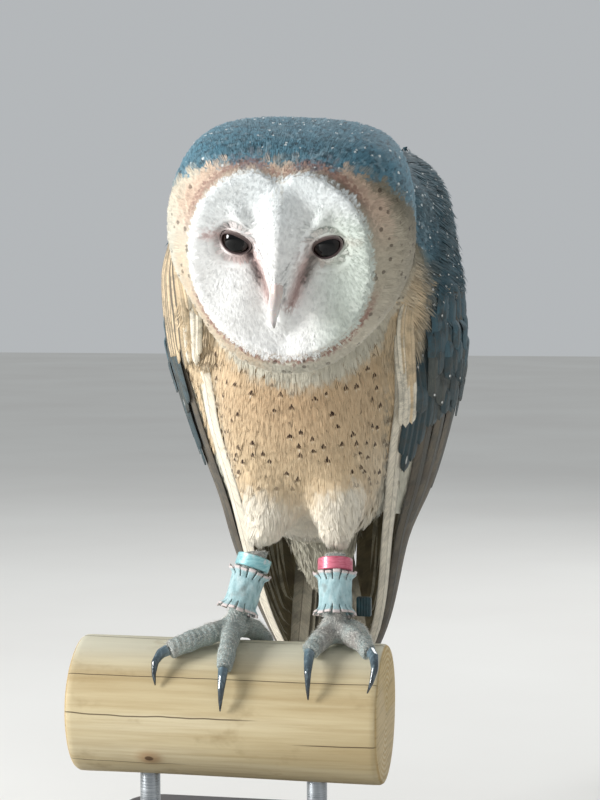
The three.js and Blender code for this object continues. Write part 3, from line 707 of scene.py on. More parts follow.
def plumage(name, roughness=0.8, contrast=1.0, bare_too=False):
    """Feather: each barb a little lighter or darker, with painted shade deepening towards each feather's
    root, and the marks that its zone carries drawn by how far along (t) and across (s) its feather a
    point lies."""
    r = Recipe(name, roughness, Sheen_Weight=0.12, Specular_IOR_Level=0.25)
    t, s, chance = r.parts("lay")
    arrow, drops, speckle, streak = r.marks()
    place = r.place()
    s_size = r.math("ABSOLUTE", s)

    barbs = r.noise(r.stretch(r.attribute("lay", "Vector"), 1.5, 11.0, 60.0), 1.0, 3.0, 0.6)
    # Barbs and feathers a little lighter or darker at random, times painted shade that darkens each feather
    # towards its root.
    shade = r.times(
        r.band(barbs, 0.25, 0.75, 1 - 0.16 * contrast, 1 + 0.1 * contrast),
        r.band(chance, 0.0, 1.0, 1 - 0.07 * contrast, 1 + 0.06 * contrast),
        r.band(t, 0.0, 0.7, 1 - 0.22 * contrast, 1 + 0.02 * contrast),
    )
    base = r.shaded(r.attribute("tone", "Color"), shade)
    base = r.paint(base, "#8d7452", r.band(r.noise(place, 90.0, 3.0, 0.6), 0.35, 0.75, 0.0, 0.12 * contrast))

    # Slate feathers: dark streaks with a few pale ones, and dots no larger than a pinhead.
    base = r.paint(base, "#1d2b33", r.band(r.noise(place, 420.0, 3.0, 0.7), 0.5, 0.62), streak, 0.55)
    base = r.paint(base, "#9db6c0", r.band(r.noise(place, 260.0, 2.0, 0.6), 0.56, 0.7, 0.0, 0.45), streak)
    dot, sown = (r.node("ShaderNodeTexVoronoi", out, Vector=place, Scale=330.0) for out in (0, 1))
    lot = r.node("ShaderNodeSeparateColor", Color=sown)
    base = r.paint(base, "#e8efee", r.band(dot, 0.26, 0.16), r.band(lot, 0.7, 0.72), streak)
    base = r.paint(base, "#3a2c22", r.band(dot, 0.38, 0.26), r.band(lot, 0.2, 0.18), speckle)

    # Breast: an arrowhead with its point towards the feather's root, and a pale tip under it.
    head_half = r.band(t, 0.5, 0.86, 0.0, 0.7)
    notch = r.plus(0.85, r.times(s_size, 0.1))
    base = r.paint(base, "#efe3cd", r.band(t, 0.88, 0.93), r.band(s_size, 0.7, 0.4), arrow)
    base = r.paint(base, "#3b2a20", r.band(r.minus(head_half, s_size), -0.04, 0.1),
                   r.band(r.minus(notch, t), -0.01, 0.03), arrow)

    # Mantle: a white drop near the tip in a dark surround.
    away = r.off_middle(t, 0.86, 0.06, s_size, 0.0, 0.22)
    base = r.paint(base, "#172127", r.band(away, 2.6, 1.2, 0.0, 0.8), drops)
    base = r.paint(base, "#f3f4f0", r.band(away, 1.15, 0.75), drops)

    normal = r.bump(barbs, 0.2 * contrast, 0.0004)
    if not bare_too:
        return r.done(base, None, normal)

    # Bare hide on the feet: pale grey scales with darker joints and pinkish pads.
    scale = r.node("ShaderNodeTexVoronoi", 0, {"feature": "DISTANCE_TO_EDGE"}, Vector=place, Scale=950.0)
    joint = r.band(scale, 0.02, 0.12)
    soil = r.noise(place, 160.0, 4.0, 0.65)
    hide = r.ramp(soil, (0.3, "#8c9796"), (0.52, "#a7b3b0"), (0.72, "#c2cdc9"))
    hide = r.paint(hide, "#b98f80", r.band(r.noise(place, 70.0, 2.0), 0.52, 0.7, 0.0, 0.3))
    hide = r.paint(hide, "#6d6c66", r.band(joint, 0.0, 1.0, 0.5, 0.0))
    on_hide = r.attribute("bare")
    return r.done(r.mix(on_hide, base, hide), None, r.bump(r.times(joint, on_hide), 0.7, 0.0004, normal))


skin.data.materials.append(plumage("hide_and_down", 0.7, bare_too=True))
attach(skin, "root")
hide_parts(*FLESH, *BARE)

# ---------- Small feathers ----------
# Contour feathers grow from the skin in overlapping rows. Each is a fan of thin barbs that leave its
# root together, lie along the body and end in a soft round tip.
skin_tree = BVHTree.FromPolygons(body_points.tolist(), body_quads.tolist())
half_quads = np.concatenate([body_quads[:, [0, 1, 2]], body_quads[:, [0, 2, 3]]])
quad_of = np.tile(np.arange(len(body_quads)), 2)
edge_a = body_points[half_quads[:, 1]] - body_points[half_quads[:, 0]]
edge_b = body_points[half_quads[:, 2]] - body_points[half_quads[:, 0]]
half_area = np.linalg.norm(np.cross(edge_a, edge_b), axis=1) / 2


def strew(where, spacing, seed):
    """Places on the skin about one spacing apart, wherever a share is over a half. Gives the
    triangle of each and its weights in it."""
    dice = np.random.default_rng(seed)
    inside = where[half_quads].mean(1) > 0.5
    chosen = np.flatnonzero(inside)
    area = half_area[chosen]
    tries = int(3.2 * area.sum() / spacing**2)
    tri = dice.choice(chosen, tries, p=area / area.sum())
    r1, r2 = np.sqrt(dice.random(tries)), dice.random(tries)
    weights = np.stack([1 - r1, r1 * (1 - r2), r1 * r2], 1)
    points = (body_points[half_quads[tri]] * weights[:, :, None]).sum(1)
    tree = KDTree(tries)
    for k, p in enumerate(points):
        tree.insert(p, k)
    tree.balance()
    free = np.ones(tries, bool)
    kept = []
    for k in range(tries):
        if free[k]:
            kept.append(k)
            free[[j for _, j, _ in tree.find_range(points[k], 0.82 * spacing)]] = False
    return tri[kept], weights[kept]


def flow_at(points, normals):
    """The way the coat lies: out from the eyes on the face, back over the head, down the body."""
    q, b = in_head(points), in_body(points)
    x, y, z = q.T
    share = disc_share(x, z)
    far = np.maximum(np.hypot(x, z), 1)
    fade = 1 - ease(y, 0, 34)
    head_way = np.stack([x / far * fade, 1.15 + 0 * x, z / far * fade - 1.5 * ease(y, -5, 28) - 0.25], 1)
    sign = np.where(x < 0, -1, 1)
    from_eye = unit(np.stack([x - sign * EYE["across"], 0 * x, z - EYE["height"]], 1))
    out = np.stack([x / far, 0 * x, z / far], 1)
    face_way = from_eye + (out - from_eye) * ease(share, 0.72, 0.98)[:, None]
    on_disc = (1 - ease(share, 0.99, 1.06)) * (y < -12)
    head_way = unit(head_way) + (unit(face_way) - unit(head_way)) * on_disc[:, None]
    body_way = np.stack([0.006 * (b[:, 0] - 4), 0.15 + 1.3 * ease(b[:, 2], 160, 206), -1 + 0 * x], 1)
    head = head_part(q, b)[:, None]
    way = unit(body_way) + (unit(head_way) @ head_turn.T - unit(body_way)) * head
    way = way - normals * (way * normals).sum(1)[:, None]
    return unit(way)


STOPS = np.array([0.0, 0.4, 0.78, 1.0])
BARB_FACES = np.array([[0, 1, 2], [1, 3, 2], [2, 3, 4], [3, 5, 4], [4, 5, 6]])


def fans(name, root, normal, way, length, width, lift, tone, marks, uv, seed, barbs=9, splay=0.45,
         wild=0.12, ruffle=1.0):
    """Feathers as one mesh. length, width and lift are in metres and may differ from one feather to
    the next. splay is how wide a root is, wild how far a feather strays from the lie, and ruffle
    parts the barbs. Each barb is shaded nearly as the body under it is, as down that passes light
    through is."""
    dice = np.random.default_rng(seed)
    n = len(root)
    length, width, lift = (
        (np.broadcast_to(size, n) * (1 + 0.12 * dice.standard_normal(n)))[:, None, None]
        for size in (length, width, lift))
    way = unit(way + wild * np.cross(normal, way) * dice.standard_normal((n, 1)))
    ends = [skin_tree.find_nearest(p)[:2] for p in (root + way * length[:, 0]).tolist()]
    tip = np.array([p for p, _ in ends])
    tip_normal = np.array([v for _, v in ends])
    tip_normal = np.where((tip_normal * normal).sum(1)[:, None] < 0.2, normal, tip_normal)
    reach = np.linalg.norm(tip - root, axis=1)
    tip = np.where(reach[:, None] < 0.6 * length[:, 0], root + way * 0.35 * length[:, 0], tip)
    bulge = np.clip(((tip_normal - normal) * way).sum(1)[:, None, None], -0.3, 0.6) * length / 8

    s = np.linspace(-1, 1, barbs)[None, :] + 0.06 * dice.standard_normal((n, barbs))
    t = STOPS[None, None, :] * (1 - 0.22 * s**2 + 0.05 * dice.standard_normal((n, barbs)))[:, :, None]
    line = root[:, None, None] + (tip - root)[:, None, None] * t[..., None]
    up = normal[:, None, None] + (tip_normal - normal)[:, None, None] * t[..., None]
    over = unit(np.cross(way, normal))[:, None, None]
    spread = splay + (1 - splay) * np.minimum(1, t / 0.6) - 0.12 * np.maximum(0, t - 0.7)
    height = bulge * 4 * t * (1 - t) + lift * (t**0.8 * 1.1) - 0.5 * MM * (1 - t)
    height = height - 0.1 * width * (s**2)[:, :, None]
    height = height + 0.12 * ruffle * lift * dice.standard_normal((n, barbs, 1)) * t
    centre = line + up * height[..., None] + over * (s[:, :, None] * width / 2 * spread)[..., None]
    taper = np.array([0.7, 1.0, 0.8, 0.0])
    half = width / barbs / 2 * 1.15 * taper * (1 + 0.2 * dice.standard_normal((n, barbs, 1)))
    roll = 0.5 * s * ruffle + 0.35 * ruffle * dice.standard_normal((n, barbs))
    blade = over * np.cos(roll)[..., None, None] - up * np.sin(roll)[..., None, None]
    a, b = centre - blade * half[..., None], centre + blade * half[..., None]
    points = np.stack([a[:, :, :3], b[:, :, :3]], 3).reshape(n, barbs, 6, 3)
    points = np.concatenate([points, centre[:, :, 3:]], 2).reshape(-1, 3)
    faces = (BARB_FACES[None] + 7 * np.arange(n * barbs)[:, None, None]).reshape(-1, 3)
    piece = new_object(name, points, faces)
    tilt = np.stack([blade[:, :, 0, :]] * 3, 2)
    facing = up[:, :, :3] + 0.25 * ruffle * dice.standard_normal((n, barbs, 1, 1)) * tilt
    facing = np.concatenate([np.repeat(facing, 2, axis=2), facing[:, :, 2:]], 2)
    piece.data.normals_split_custom_set_from_vertices(unit(facing).reshape(-1, 3))

    along = np.repeat(t[:, :, :3], 2, axis=2)
    along = np.concatenate([along, t[:, :, 3:]], 2)
    lay = np.zeros((n, barbs, 7, 3))
    lay[..., 0], lay[..., 1] = along, s[:, :, None]
    lay[..., 2] = dice.random(n)[:, None, None]
    store(piece, "lay", "FLOAT_VECTOR", lay)
    store(piece, "tone", "FLOAT_COLOR", np.repeat(opaque(tone), barbs * 7, axis=0))
    store(piece, "marks", "FLOAT_COLOR", np.repeat(marks, barbs * 7, axis=0))
    patch = uv[:, None, None] + 0.003 * (lay[..., :2] * [1, 0.5] - [0.5, 0])
    bake_map(piece, patch.reshape(-1, 2))
    return piece


def bake_map(piece, uv):
    """The map through which the colours can be baked, from one place for each point."""
    corners = np.zeros(len(piece.data.loops), np.int32)
    piece.data.loops.foreach_get("vertex_index", corners)
    layer = piece.data.uv_layers.new(name="OFBake")
    layer.data.foreach_set("uv", uv[corners].astype(np.float32).ravel())


def wear(piece, material, slot, *nodes):
    piece.data.materials.append(material)
    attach(piece, "root")
    if nodes:
        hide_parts(*nodes)


q, b = in_head(body_points), in_body(body_points)
share = disc_share(q[:, 0], q[:, 2])
in_front = q[:, 1] < -10
head_share = head_part(q, b) * (1 - wing_share)
face_zone = in_front * (share < 0.975)
bill_gap = np.hypot(q[:, 0], 0.5 * (q[:, 2] + 17))
face_zone = face_zone * (from_almond(q[:, 0], q[:, 2]) > 1.22) * (bill_gap > 3.0)
rim_zone = in_front * (share > 0.95) * (share < 1.1)
rest_of_head = (head_share > 0.5) * (1 - in_front * (share < 1.07))
cap_zone = rest_of_head * (q[:, 2] > cap_edge(q[:, 0], q[:, 1]))
cheek_zone = rest_of_head * (1 - cap_zone)
body_zone = (head_share <= 0.5) * (wing_share < 0.5)
back_zone = body_zone * ((b[:, 1] > 54) | (b[:, 1] > 10) & (b[:, 2] > 176)) * (b[:, 2] > 76)
thigh_zone = body_zone * (thigh_share > 0.5)
vent_zone = body_zone * (1 - thigh_zone) * (b[:, 1] > 36) * (b[:, 2] < 76)
breast_zone = body_zone * (1 - back_zone) * (1 - thigh_zone) * (1 - vent_zone)
ragged = 12 * ease(b[:, 1], 0, 30) * (np.random.default_rng(4).random(len(b)) - 0.6)
edge = 126 + 4 * np.sin(0.4 * b[:, 0] + 0.3 * b[:, 1]) + ragged
wing_zone = (wing_share >= 0.5) * (head_share <= 0.5) * (b[:, 2] > edge)
flank_zone = (forward > 0.5) * (b[:, 2] > 82)
lining_zone = (wing_share >= 0.5) * (b[:, 2] <= 158) * (b[:, 2] > 62) * (1 - flank_zone)
lining_zone = lining_zone * ((inward > 0.5) | (forward > 0.5))
lining_zone = lining_zone * (body_normals[:, 1] < 0.3) * (body_normals[:, 2] > -0.6)


def sparse(points, gap, share_kept, dice):
    """Which of the points carry a mark, no two of them nearer than the gap."""
    tree = KDTree(len(points))
    for k, p in enumerate(points):
        tree.insert(p, k)
    tree.balance()
    free, marked = np.ones(len(points), bool), np.zeros(len(points), bool)
    for k in dice.permutation(len(points)):
        if free[k]:
            marked[k] = dice.random() < share_kept
            free[[j for _, j, _ in tree.find_range(points[k], gap)]] = False
    return marked


def coat(name, zone, spacing, length, width, lift, material, slot, seed, **shape):
    """One zone of the coat, grown at that spacing in millimetres."""
    tri, weights = strew(zone, spacing * MM, seed)
    mixed = lambda values: (values[half_quads[tri]] * weights[:, :, None]).sum(1)
    root, normal = mixed(body_points), unit(mixed(body_normals))
    wing, thigh = mixed(wing_share[:, None])[:, 0], mixed(thigh_share[:, None])[:, 0]
    tone, marks = plumage_at(root, wing, thigh)
    if "plain" in shape:
        tone, marks = tint(tone, (1.0, shape.pop("plain"))), marks * 0
    dice = np.random.default_rng(seed + 100)
    marks = marks.copy()
    marks[:, 0] *= sparse(root, 4.6 * MM, 0.6, dice)
    marks[:, 1] *= sparse(root, 4.0 * MM, 0.8, dice)
    tone = tone * (1 + 0.05 * dice.standard_normal((len(root), 1)))
    way = flow_at(root, normal)
    marked = marks[:, 0] > 0.3
    level = ease(in_body(root)[:, 1], 14, 26) * ease(normal[:, 2], 0.6, 0.95)
    lift, width = lift * (1 + 0.8 * marked) * (1 - 0.75 * level), width * (1 + 0.1 * marked)
    piece = fans(name, root, normal, way, length * MM, width * MM, lift * MM, tone, marks,
                 skin_uv[quad_of[tri]], seed, **shape)
    wear(piece, material, slot)


white_plume = plumage("white_plumage", 0.85, 0.35)
buff_plume = plumage("buff_plumage", 0.8, 0.55)
slate_plume = plumage("slate_plumage", 0.7)
down_plume = plumage("down_plumage", 0.9, 0.7)

upper_face = face_zone * (q[:, 2] > 4)
temple_zone = cheek_zone * (q[:, 2] > cap_edge(q[:, 0], q[:, 1]) - 8)
fine = {"barbs": 7, "splay": 0.8, "wild": 0.06, "ruffle": 0.4}
coat("brow_feathers", upper_face, 1.0, 4.2, 1.5, 0.35, white_plume, "plumage_white", 10, **fine)
coat("face_feathers", face_zone * (1 - upper_face), 1.0, 4.2, 1.5, 0.35, white_plume, "plumage_white", 11,
     **fine)
coat("rim_feathers", rim_zone, 1.0, 2.4, 1.4, 0.5, buff_plume, "plumage_buff", 12, barbs=7, ruffle=0.4)
coat("cap_feathers", cap_zone, 1.6, 6.0, 2.8, 0.8, slate_plume, "plumage_slate", 13, ruffle=0.5)
coat("temple_feathers", temple_zone, 1.3, 3.2, 2.0, 0.6, buff_plume, "plumage_cream", 21, barbs=7, ruffle=0.4)
coat("cheek_feathers", cheek_zone * (1 - temple_zone), 1.6, 6.0, 2.8, 0.9, buff_plume, "plumage_cream", 14,
     ruffle=0.4)
coat("breast_feathers", breast_zone, 1.9, 7.5, 3.6, 0.9, buff_plume, "plumage_buff", 15, barbs=11,
     ruffle=0.3, wild=0.06)
coat("back_feathers", back_zone, 2.8, 11, 6.5, 1.9, slate_plume, "plumage_slate", 16, barbs=13)
coat("thigh_feathers", thigh_zone, 2.0, 8, 3.2, 1.5, down_plume, "plumage_cream", 17, wild=0.16, ruffle=0.4)
coat("vent_feathers", vent_zone, 2.4, 10, 4.5, 2.0, down_plume, "plumage_cream", 18, wild=0.2)
coat("shoulder_feathers", wing_zone, 2.5, 9, 5.5, 2.4, slate_plume, "plumage_slate", 19, barbs=13)
coat("wing_lining_feathers", lining_zone, 2.4, 9, 4.2, 1.2, down_plume, "plumage_cream", 20, ruffle=0.5,
     plain="pale_shade")
coat("flank_feathers", flank_zone, 2.0, 7.5, 3.6, 1.2, buff_plume, "plumage_buff", 22, ruffle=0.4,
     plain="buff")

# ---------- Folded wings ----------
# Each wing hangs folded against the flank: stiff quills along the blade, pale at the leading edge,
# with rows of coverts over their roots. Every inner quill lies on top of its outer neighbour.
LEVELS = np.arange(206, -57, -6.0)  # heights over the rail at which the blade's outer face is felt
COLUMNS = 25


def blade_sheet(side, way):
    """The outer face of one folded wing, from its leading to its trailing edge at each level."""
    names = [f"wing_{side}_{part}" for part in ("arm", "hand", "secondaries", "primaries")]
    points, faces, _ = triangles_of(names)
    tree = BVHTree.FromPolygons(in_body(points).tolist(), faces.tolist())
    rows = []
    for z in LEVELS:
        core = Vector((4, np.interp(z, [-58, 60], [118, 45]), z))
        found = []
        for angle in np.radians(np.arange(-88, 112, 1.0)):
            ray = Vector((way * math.cos(angle), math.sin(angle), 0))
            hit = tree.ray_cast(core + 150 * ray, -ray, 149)[0]
            if hit:
                found.append(hit)
        found = np.array(found)
        run = np.concatenate([[0], np.cumsum(np.linalg.norm(np.diff(found, axis=0), axis=1))])
        share = np.linspace(0, run[-1], COLUMNS)
        rows.append(np.stack([np.interp(share, run, found[:, k]) for k in range(3)], 1))
    sheet = np.array(rows)
    for _ in range(4):
        sheet[1:-1] = (sheet[:-2] + 2 * sheet[1:-1] + sheet[2:]) / 4
        sheet[:, 1:-1] = (sheet[:, :-2] + 2 * sheet[:, 1:-1] + sheet[:, 2:]) / 4
    return sheet


def on_sheet(sheet, z, u):
    """The sheet's points at heights z and shares u of its width."""
    row = np.clip((LEVELS[0] - z) / (LEVELS[0] - LEVELS[1]), 0, len(LEVELS) - 1.001)
    col = np.clip(u, 0, 1) * (COLUMNS - 1.001)
    i, j = row.astype(int), col.astype(int)
    f, g = (row - i)[..., None], (col - j)[..., None]
    top = sheet[i, j] * (1 - g) + sheet[i, j + 1] * g
    low = sheet[i + 1, j] * (1 - g) + sheet[i + 1, j + 1] * g
    return top * (1 - f) + low * f


def quills(name, sheet, way, rows, seed, grid_size=(30, 9), root_share=0.25):
    """Quills as one mesh. Each row is [u root, u tip, z root, z tip, width, height over the sheet,
    tone of the outer web, tone of the inner web, marks], in millimetres and shares."""
    dice = np.random.default_rng(seed)
    t = np.linspace(0, 1, grid_size[0])[:, None] ** 0.85
    s = np.linspace(-1, 1, grid_size[1])[None, :]
    flat = 0 * t * s
    points, tones, marks, lays, patches = [], [], [], [], []
    across = math.ceil(math.sqrt(len(rows)))
    for k, (u0, u1, z0, z1, width, height, outer, inner, marked) in enumerate(rows):
        z = z0 + (z1 - z0) * t + flat
        whole = on_sheet(sheet, z[:, :1] + np.zeros(9), np.linspace(0, 1, 9) + 0 * z[:, :1])
        wide = np.linalg.norm(np.diff(whole, axis=1), axis=2).sum(1)[:, None]
        root_end = 1 - 0.35 * (1 - ease(t, 0.0, 0.25))
        round_from = 1 - np.clip(0.55 * width / abs(z0 - z1), 0.08, 0.4)
        tip_end = np.sqrt(np.clip(1 - np.clip((t - round_from) / (1 - round_from), 0, 1) ** 2, 0, 1))
        half = width / 2 * root_end * tip_end
        split = 0.05 * np.sin(t * 60 + k) * bell(t, dice.uniform(0.4, 0.9), 0.03)
        u = u0 + (u1 - u0) * ease(t, 0, 1) + s * half * (1 + split) / np.maximum(wide, 6)
        overrun = np.maximum(0, -u) * wide  # what sticks out past the leading edge
        down = on_sheet(sheet, z - 2, u) - on_sheet(sheet, z + 2, u)
        inner_u = np.clip(u, 0, 0.96)
        along_u = on_sheet(sheet, z, inner_u + 0.03) - on_sheet(sheet, z, inner_u)
        lift = height * (root_share + (1 - root_share) * ease(t, 0, 0.5))
        lift = lift + 0.5 * (1 - s**2) - 0.18 * np.abs(s)
        lift = lift + 0.15 * (1 - s**2) ** 8 * (1 - 0.7 * t)
        out = unit(np.cross(down, along_u)) * way * lift[..., None]
        points.append(on_sheet(sheet, z, u) + out - unit(along_u) * overrun[..., None] * 0.6)
        tone = np.where((s < 0)[..., None] + flat[..., None] > 0, TONES[outer], TONES[inner])
        tones.append(tone * (1 + 0.08 * dice.standard_normal()))
        marks.append(np.broadcast_to(np.array(marked, float), flat.shape + (4,)))
        lays.append(np.stack([t + flat, s + flat, dice.random() + flat], 2))
        cell = np.array([k % across, k // across])
        patches.append((cell + 0.04 + 0.92 * np.stack([(s + 1) / 2 + flat, t + flat], 2)) / across)
    faces = np.concatenate([grid_faces(*grid_size) + k * flat.size for k in range(len(rows))])
    points = np.array(points).reshape(-1, 3) * MM + np.array(STANCE)
    piece = new_object(name, points, faces if way > 0 else faces[:, ::-1])
    store(piece, "lay", "FLOAT_VECTOR", np.array(lays))
    store(piece, "tone", "FLOAT_COLOR", opaque(np.array(tones).reshape(-1, 3)))
    store(piece, "marks", "FLOAT_COLOR", np.array(marks))
    bake_map(piece, np.array(patches).reshape(-1, 2))
    return piece


def quill_finish(name):
    """Vane: fine barbs slanting from a pale shaft, with smudged dark bars, mottling, a dark edge and
    a spot at the tip, each as strong as the feather's marks say."""
    r = Recipe(name, 0.6, Sheen_Weight=0.1, Specular_IOR_Level=0.3)
    t, s, chance = r.parts("lay")
    bars, tip_spot, edge, mottle = r.marks()
    s_size = r.math("ABSOLUTE", s)
    slant = r.minus(r.times(t, 120.0), r.times(s_size, 5.0))
    strand = r.node("ShaderNodeCombineXYZ", i0=slant, i1=r.times(s, 1.2), i2=r.times(chance, 90.0))
    barbs = r.noise(strand, 1.6, 3.0, 0.6)
    base = r.shaded(r.attribute("tone", "Color"), r.band(barbs, 0.25, 0.75, 0.78, 1.16))
    stripes = r.noise(r.stretch(r.attribute("lay", "Vector"), 3.5, 6.0, 90.0), 1.0, 4.0, 0.65)
    base = r.paint(base, "#7f7a68", r.band(stripes, 0.5, 0.7, 0.0, 0.3), mottle)
    base = r.paint(base, "#2c3335", r.band(stripes, 0.5, 0.3, 0.0, 0.45), mottle)
    base = r.paint(base, "#3a3f3d", r.band(r.noise(r.place(), 130.0, 4.0, 0.7), 0.47, 0.62), mottle)
    wave = r.plus(r.times(t, 34.0), r.times(r.noise(strand, 0.25), 2.2))
    wave = r.math("SINE", r.plus(wave, r.times(chance, 6.0)))
    base = r.paint(base, "#453b30", r.band(wave, 0.35, 0.9), bars)
    base = r.paint(base, "#1f1d1c", r.band(s_size, 0.72, 0.95), edge)
    away = r.off_middle(t, 0.9, 0.035, s_size, 0.0, 0.17)
    base = r.paint(base, "#1a2226", r.band(away, 2.3, 1.1, 0.0, 0.8), tip_spot)
    base = r.paint(base, "#eef0ec", r.band(away, 1.1, 0.8), tip_spot)
    shaft = r.band(s_size, 0.1, 0.04)
    base = r.paint(base, "#5f564a", shaft, 0.3)
    return r.done(base, None, r.bump(barbs, 0.35, 0.0003, r.bump(shaft, 0.5, 0.0004)))


def over_row(count, k):
    """For feather k of a row, what runs evenly from the row's first feather to its last."""
    return lambda first, last: first + (last - first) * k / (count - 1)


vane = quill_finish("vane")
WEBS = {"tan": "#524f46", "pink_tan": "#6c6355", "grey_blue": "#63757a", "ivory": "#efe6d2",
        "dusk": "#3d4f55", "slate_tan": "#4d5350"}
TONES.update({name: np.array(color(code)) for name, code in WEBS.items()})
TONES["mantle"] = 0.25 * TONES["slate"] + 0.75 * TONES["deep_slate"]
LESSER_HEIGHTS = (2.6, 2.7, 2.4, 1.5, 0.6)
for number, (side, way) in enumerate(SIDES):
    sheet = blade_sheet(side, way)
    dice = np.random.default_rng(31 + number)
    on_left = side == "left"
    width = 7.5 if on_left else 11  # the outermost primary, ivory on both webs
    rows = [[0.02, 0.12, 132, -56, width, -0.6, "ivory", "ivory", (0.03, 0, 0.35, 0.15)]]
    for k in range(1, 10):  # the other primaries
        v = over_row(10, k)
        over = 0.06 * (1 - 0.06 * k)
        rows.append([v(0.02, 0.8) + over, v(0.12, 0.74) + over, 132, v(-56, 2), v(8, 11), v(-0.6, 1.2),
                     "pink_tan" if k < 4 else "tan", "tan", (0.35, 0, 0.35 if k < 3 else 0.2, 0.45)])
    for k in range(13):  # secondaries
        v = over_row(13, k)
        rows.append([v(0.3, 0.97), v(0.4, 0.95), 150, v(60, 36) + 6 * (k % 2), 11, v(0.4, 2.2),
                     "tan" if k < 9 else "dusk", "grey_blue", (0.35, 0, 0.25, 0.7)])
    lower = quills(f"wing_{side}_flight_quills", sheet, way, rows, 41 + number)
    wear(lower, vane, "plumage_barred", f"wing_{side}_primaries", f"wing_{side}_secondaries")

    rows = []
    for k in range(9):  # the same quills seen from the body's side
        v = over_row(9, k)
        for first in ([v(0.06, 0.9), v(0.25, 0.75), 110, v(-50, 0), 11, -4.0],
                      [v(0.3, 0.95), v(0.4, 0.93), 150, 52, 13, -3.0]):
            rows.append(first + ["shade", "olive", (0.35, 0, 0, 0.2)])
    wear(quills(f"wing_{side}_under_quills", sheet, way, rows, 51 + number), vane, "plumage_barred")

    pale_edge = 0.05 if on_left else 0.22  # as much of the leading edge as is free of dark coverts
    rows = []
    for k, tip in enumerate((79, 71, 76, 84, 92)):  # primary coverts, which end in a dark wedge
        u = pale_edge + 0.024 * k
        rows.append([u, u + 0.012, 132, tip, 5.2, 1.0 + 0.2 * k,
                     "deep_slate", "dusk", (0, 0.7 * (k == 1), 0.3, 0.7)])
    for k in range(22):  # greater coverts
        v = over_row(22, k)
        rows.append([v(0.16, 0.97), v(0.18, 0.97), 146, v(90, 104) + 12 * dice.random(), 7.5, v(1.5, 2.6),
                     "dusk" if dice.random() < 0.4 else "slate_tan", "dusk",
                     (0.15, 0.6 * (dice.random() < 0.15), 0.3, 0.9)])
    coverts = quills(f"wing_{side}_coverts", sheet, way, rows, 61 + number, root_share=-0.6)
    wear(coverts, vane, "plumage_slate")

    rows = []
    for course, height in enumerate(LESSER_HEIGHTS):  # course over course up to the shoulder
        for k in range(24):
            u = 0.08 + 0.92 * (k + 0.5 * (course % 2)) / 23.5 + 0.012 * dice.standard_normal()
            if u < pale_edge + 0.05 + 0.02 * course:
                continue
            z = 104 + 7.5 * course + 3.0 * dice.standard_normal()
            web = dice.choice(["deep_slate", "dusk", "slate_tan"]) if course < 2 else "mantle"
            rows.append([u, u, z + 17, z, 7.6 - 0.2 * course, height, web, web,
                         (0, 1.0 * (dice.random() < 0.3), 0.15, 0.7)])
    coverts = quills(f"wing_{side}_lesser_coverts", sheet, way, rows, 81 + number, (14, 7), -0.8)
    wear(coverts, vane, "plumage_slate")

    rows = []
    higher = 0 if on_left else 26  # they end higher up on the owl's right
    for course, (top, end, inner) in enumerate([(132, 90, "cream"), (148, 108, "buff")]):
        for k in range(3 if on_left else 9):  # long soft feathers behind the leading edge
            u = 0.01 + 0.022 * k + 0.004 * dice.standard_normal()
            rows.append([u, u + 0.01, top + higher, end + higher + 9 * dice.random(), 4.4,
                         2.4 + 0.25 * course, "cream" if k < 2 else "buff",
                         inner if k < 3 else "pink_tan", (0.05, 0, 0.5, 0.35)])
    wear(quills(f"wing_{side}_edge_feathers", sheet, way, rows, 91 + number, (20, 7)), vane, "plumage_buff")

# ---------- Tail ----------
# Twelve square-ended quills are set in the rump, slightly fanned, with the middle pair on top at
# the back. They are stiff feather like the wing's.
ROOT_BEHIND, ROOT_UP, TIP_BEHIND, TIP_UP = 71, 52, 104, -48
behind = ROOT_BEHIND + (TIP_BEHIND - ROOT_BEHIND) / (TIP_UP - ROOT_UP) * (LEVELS - ROOT_UP)
tail_half = np.interp(LEVELS, [TIP_UP, ROOT_UP], [21, 13])
tail_sheet = np.zeros((len(LEVELS), COLUMNS, 3))
tail_sheet[..., 0] = 4 + tail_half[:, None] * np.linspace(-1, 1, COLUMNS)
tail_sheet[..., 1] = behind[:, None]
tail_sheet[..., 2] = LEVELS[:, None]
# Painted shade: the quills' grey is darker than their own pale colour, for the shade between the legs.
TONES["tail_grey_and_shade"] = np.array(color("#857f6f"))
rows = []
for k in range(12):
    u, off_middle = over_row(12, k)(0.06, 0.94), abs(k - 5.5)
    rows.append([0.5 + 0.6 * (u - 0.5), u, 60, -47 + off_middle * 0.5, 9, 1.6 - 0.55 * off_middle,
                 "tail_grey_and_shade", "tail_grey_and_shade", (0.3, 0, 0.1, 0.35)])
wear(quills("tail_quills", tail_sheet, -1, rows, 71), vane, "plumage_barred", "tail")

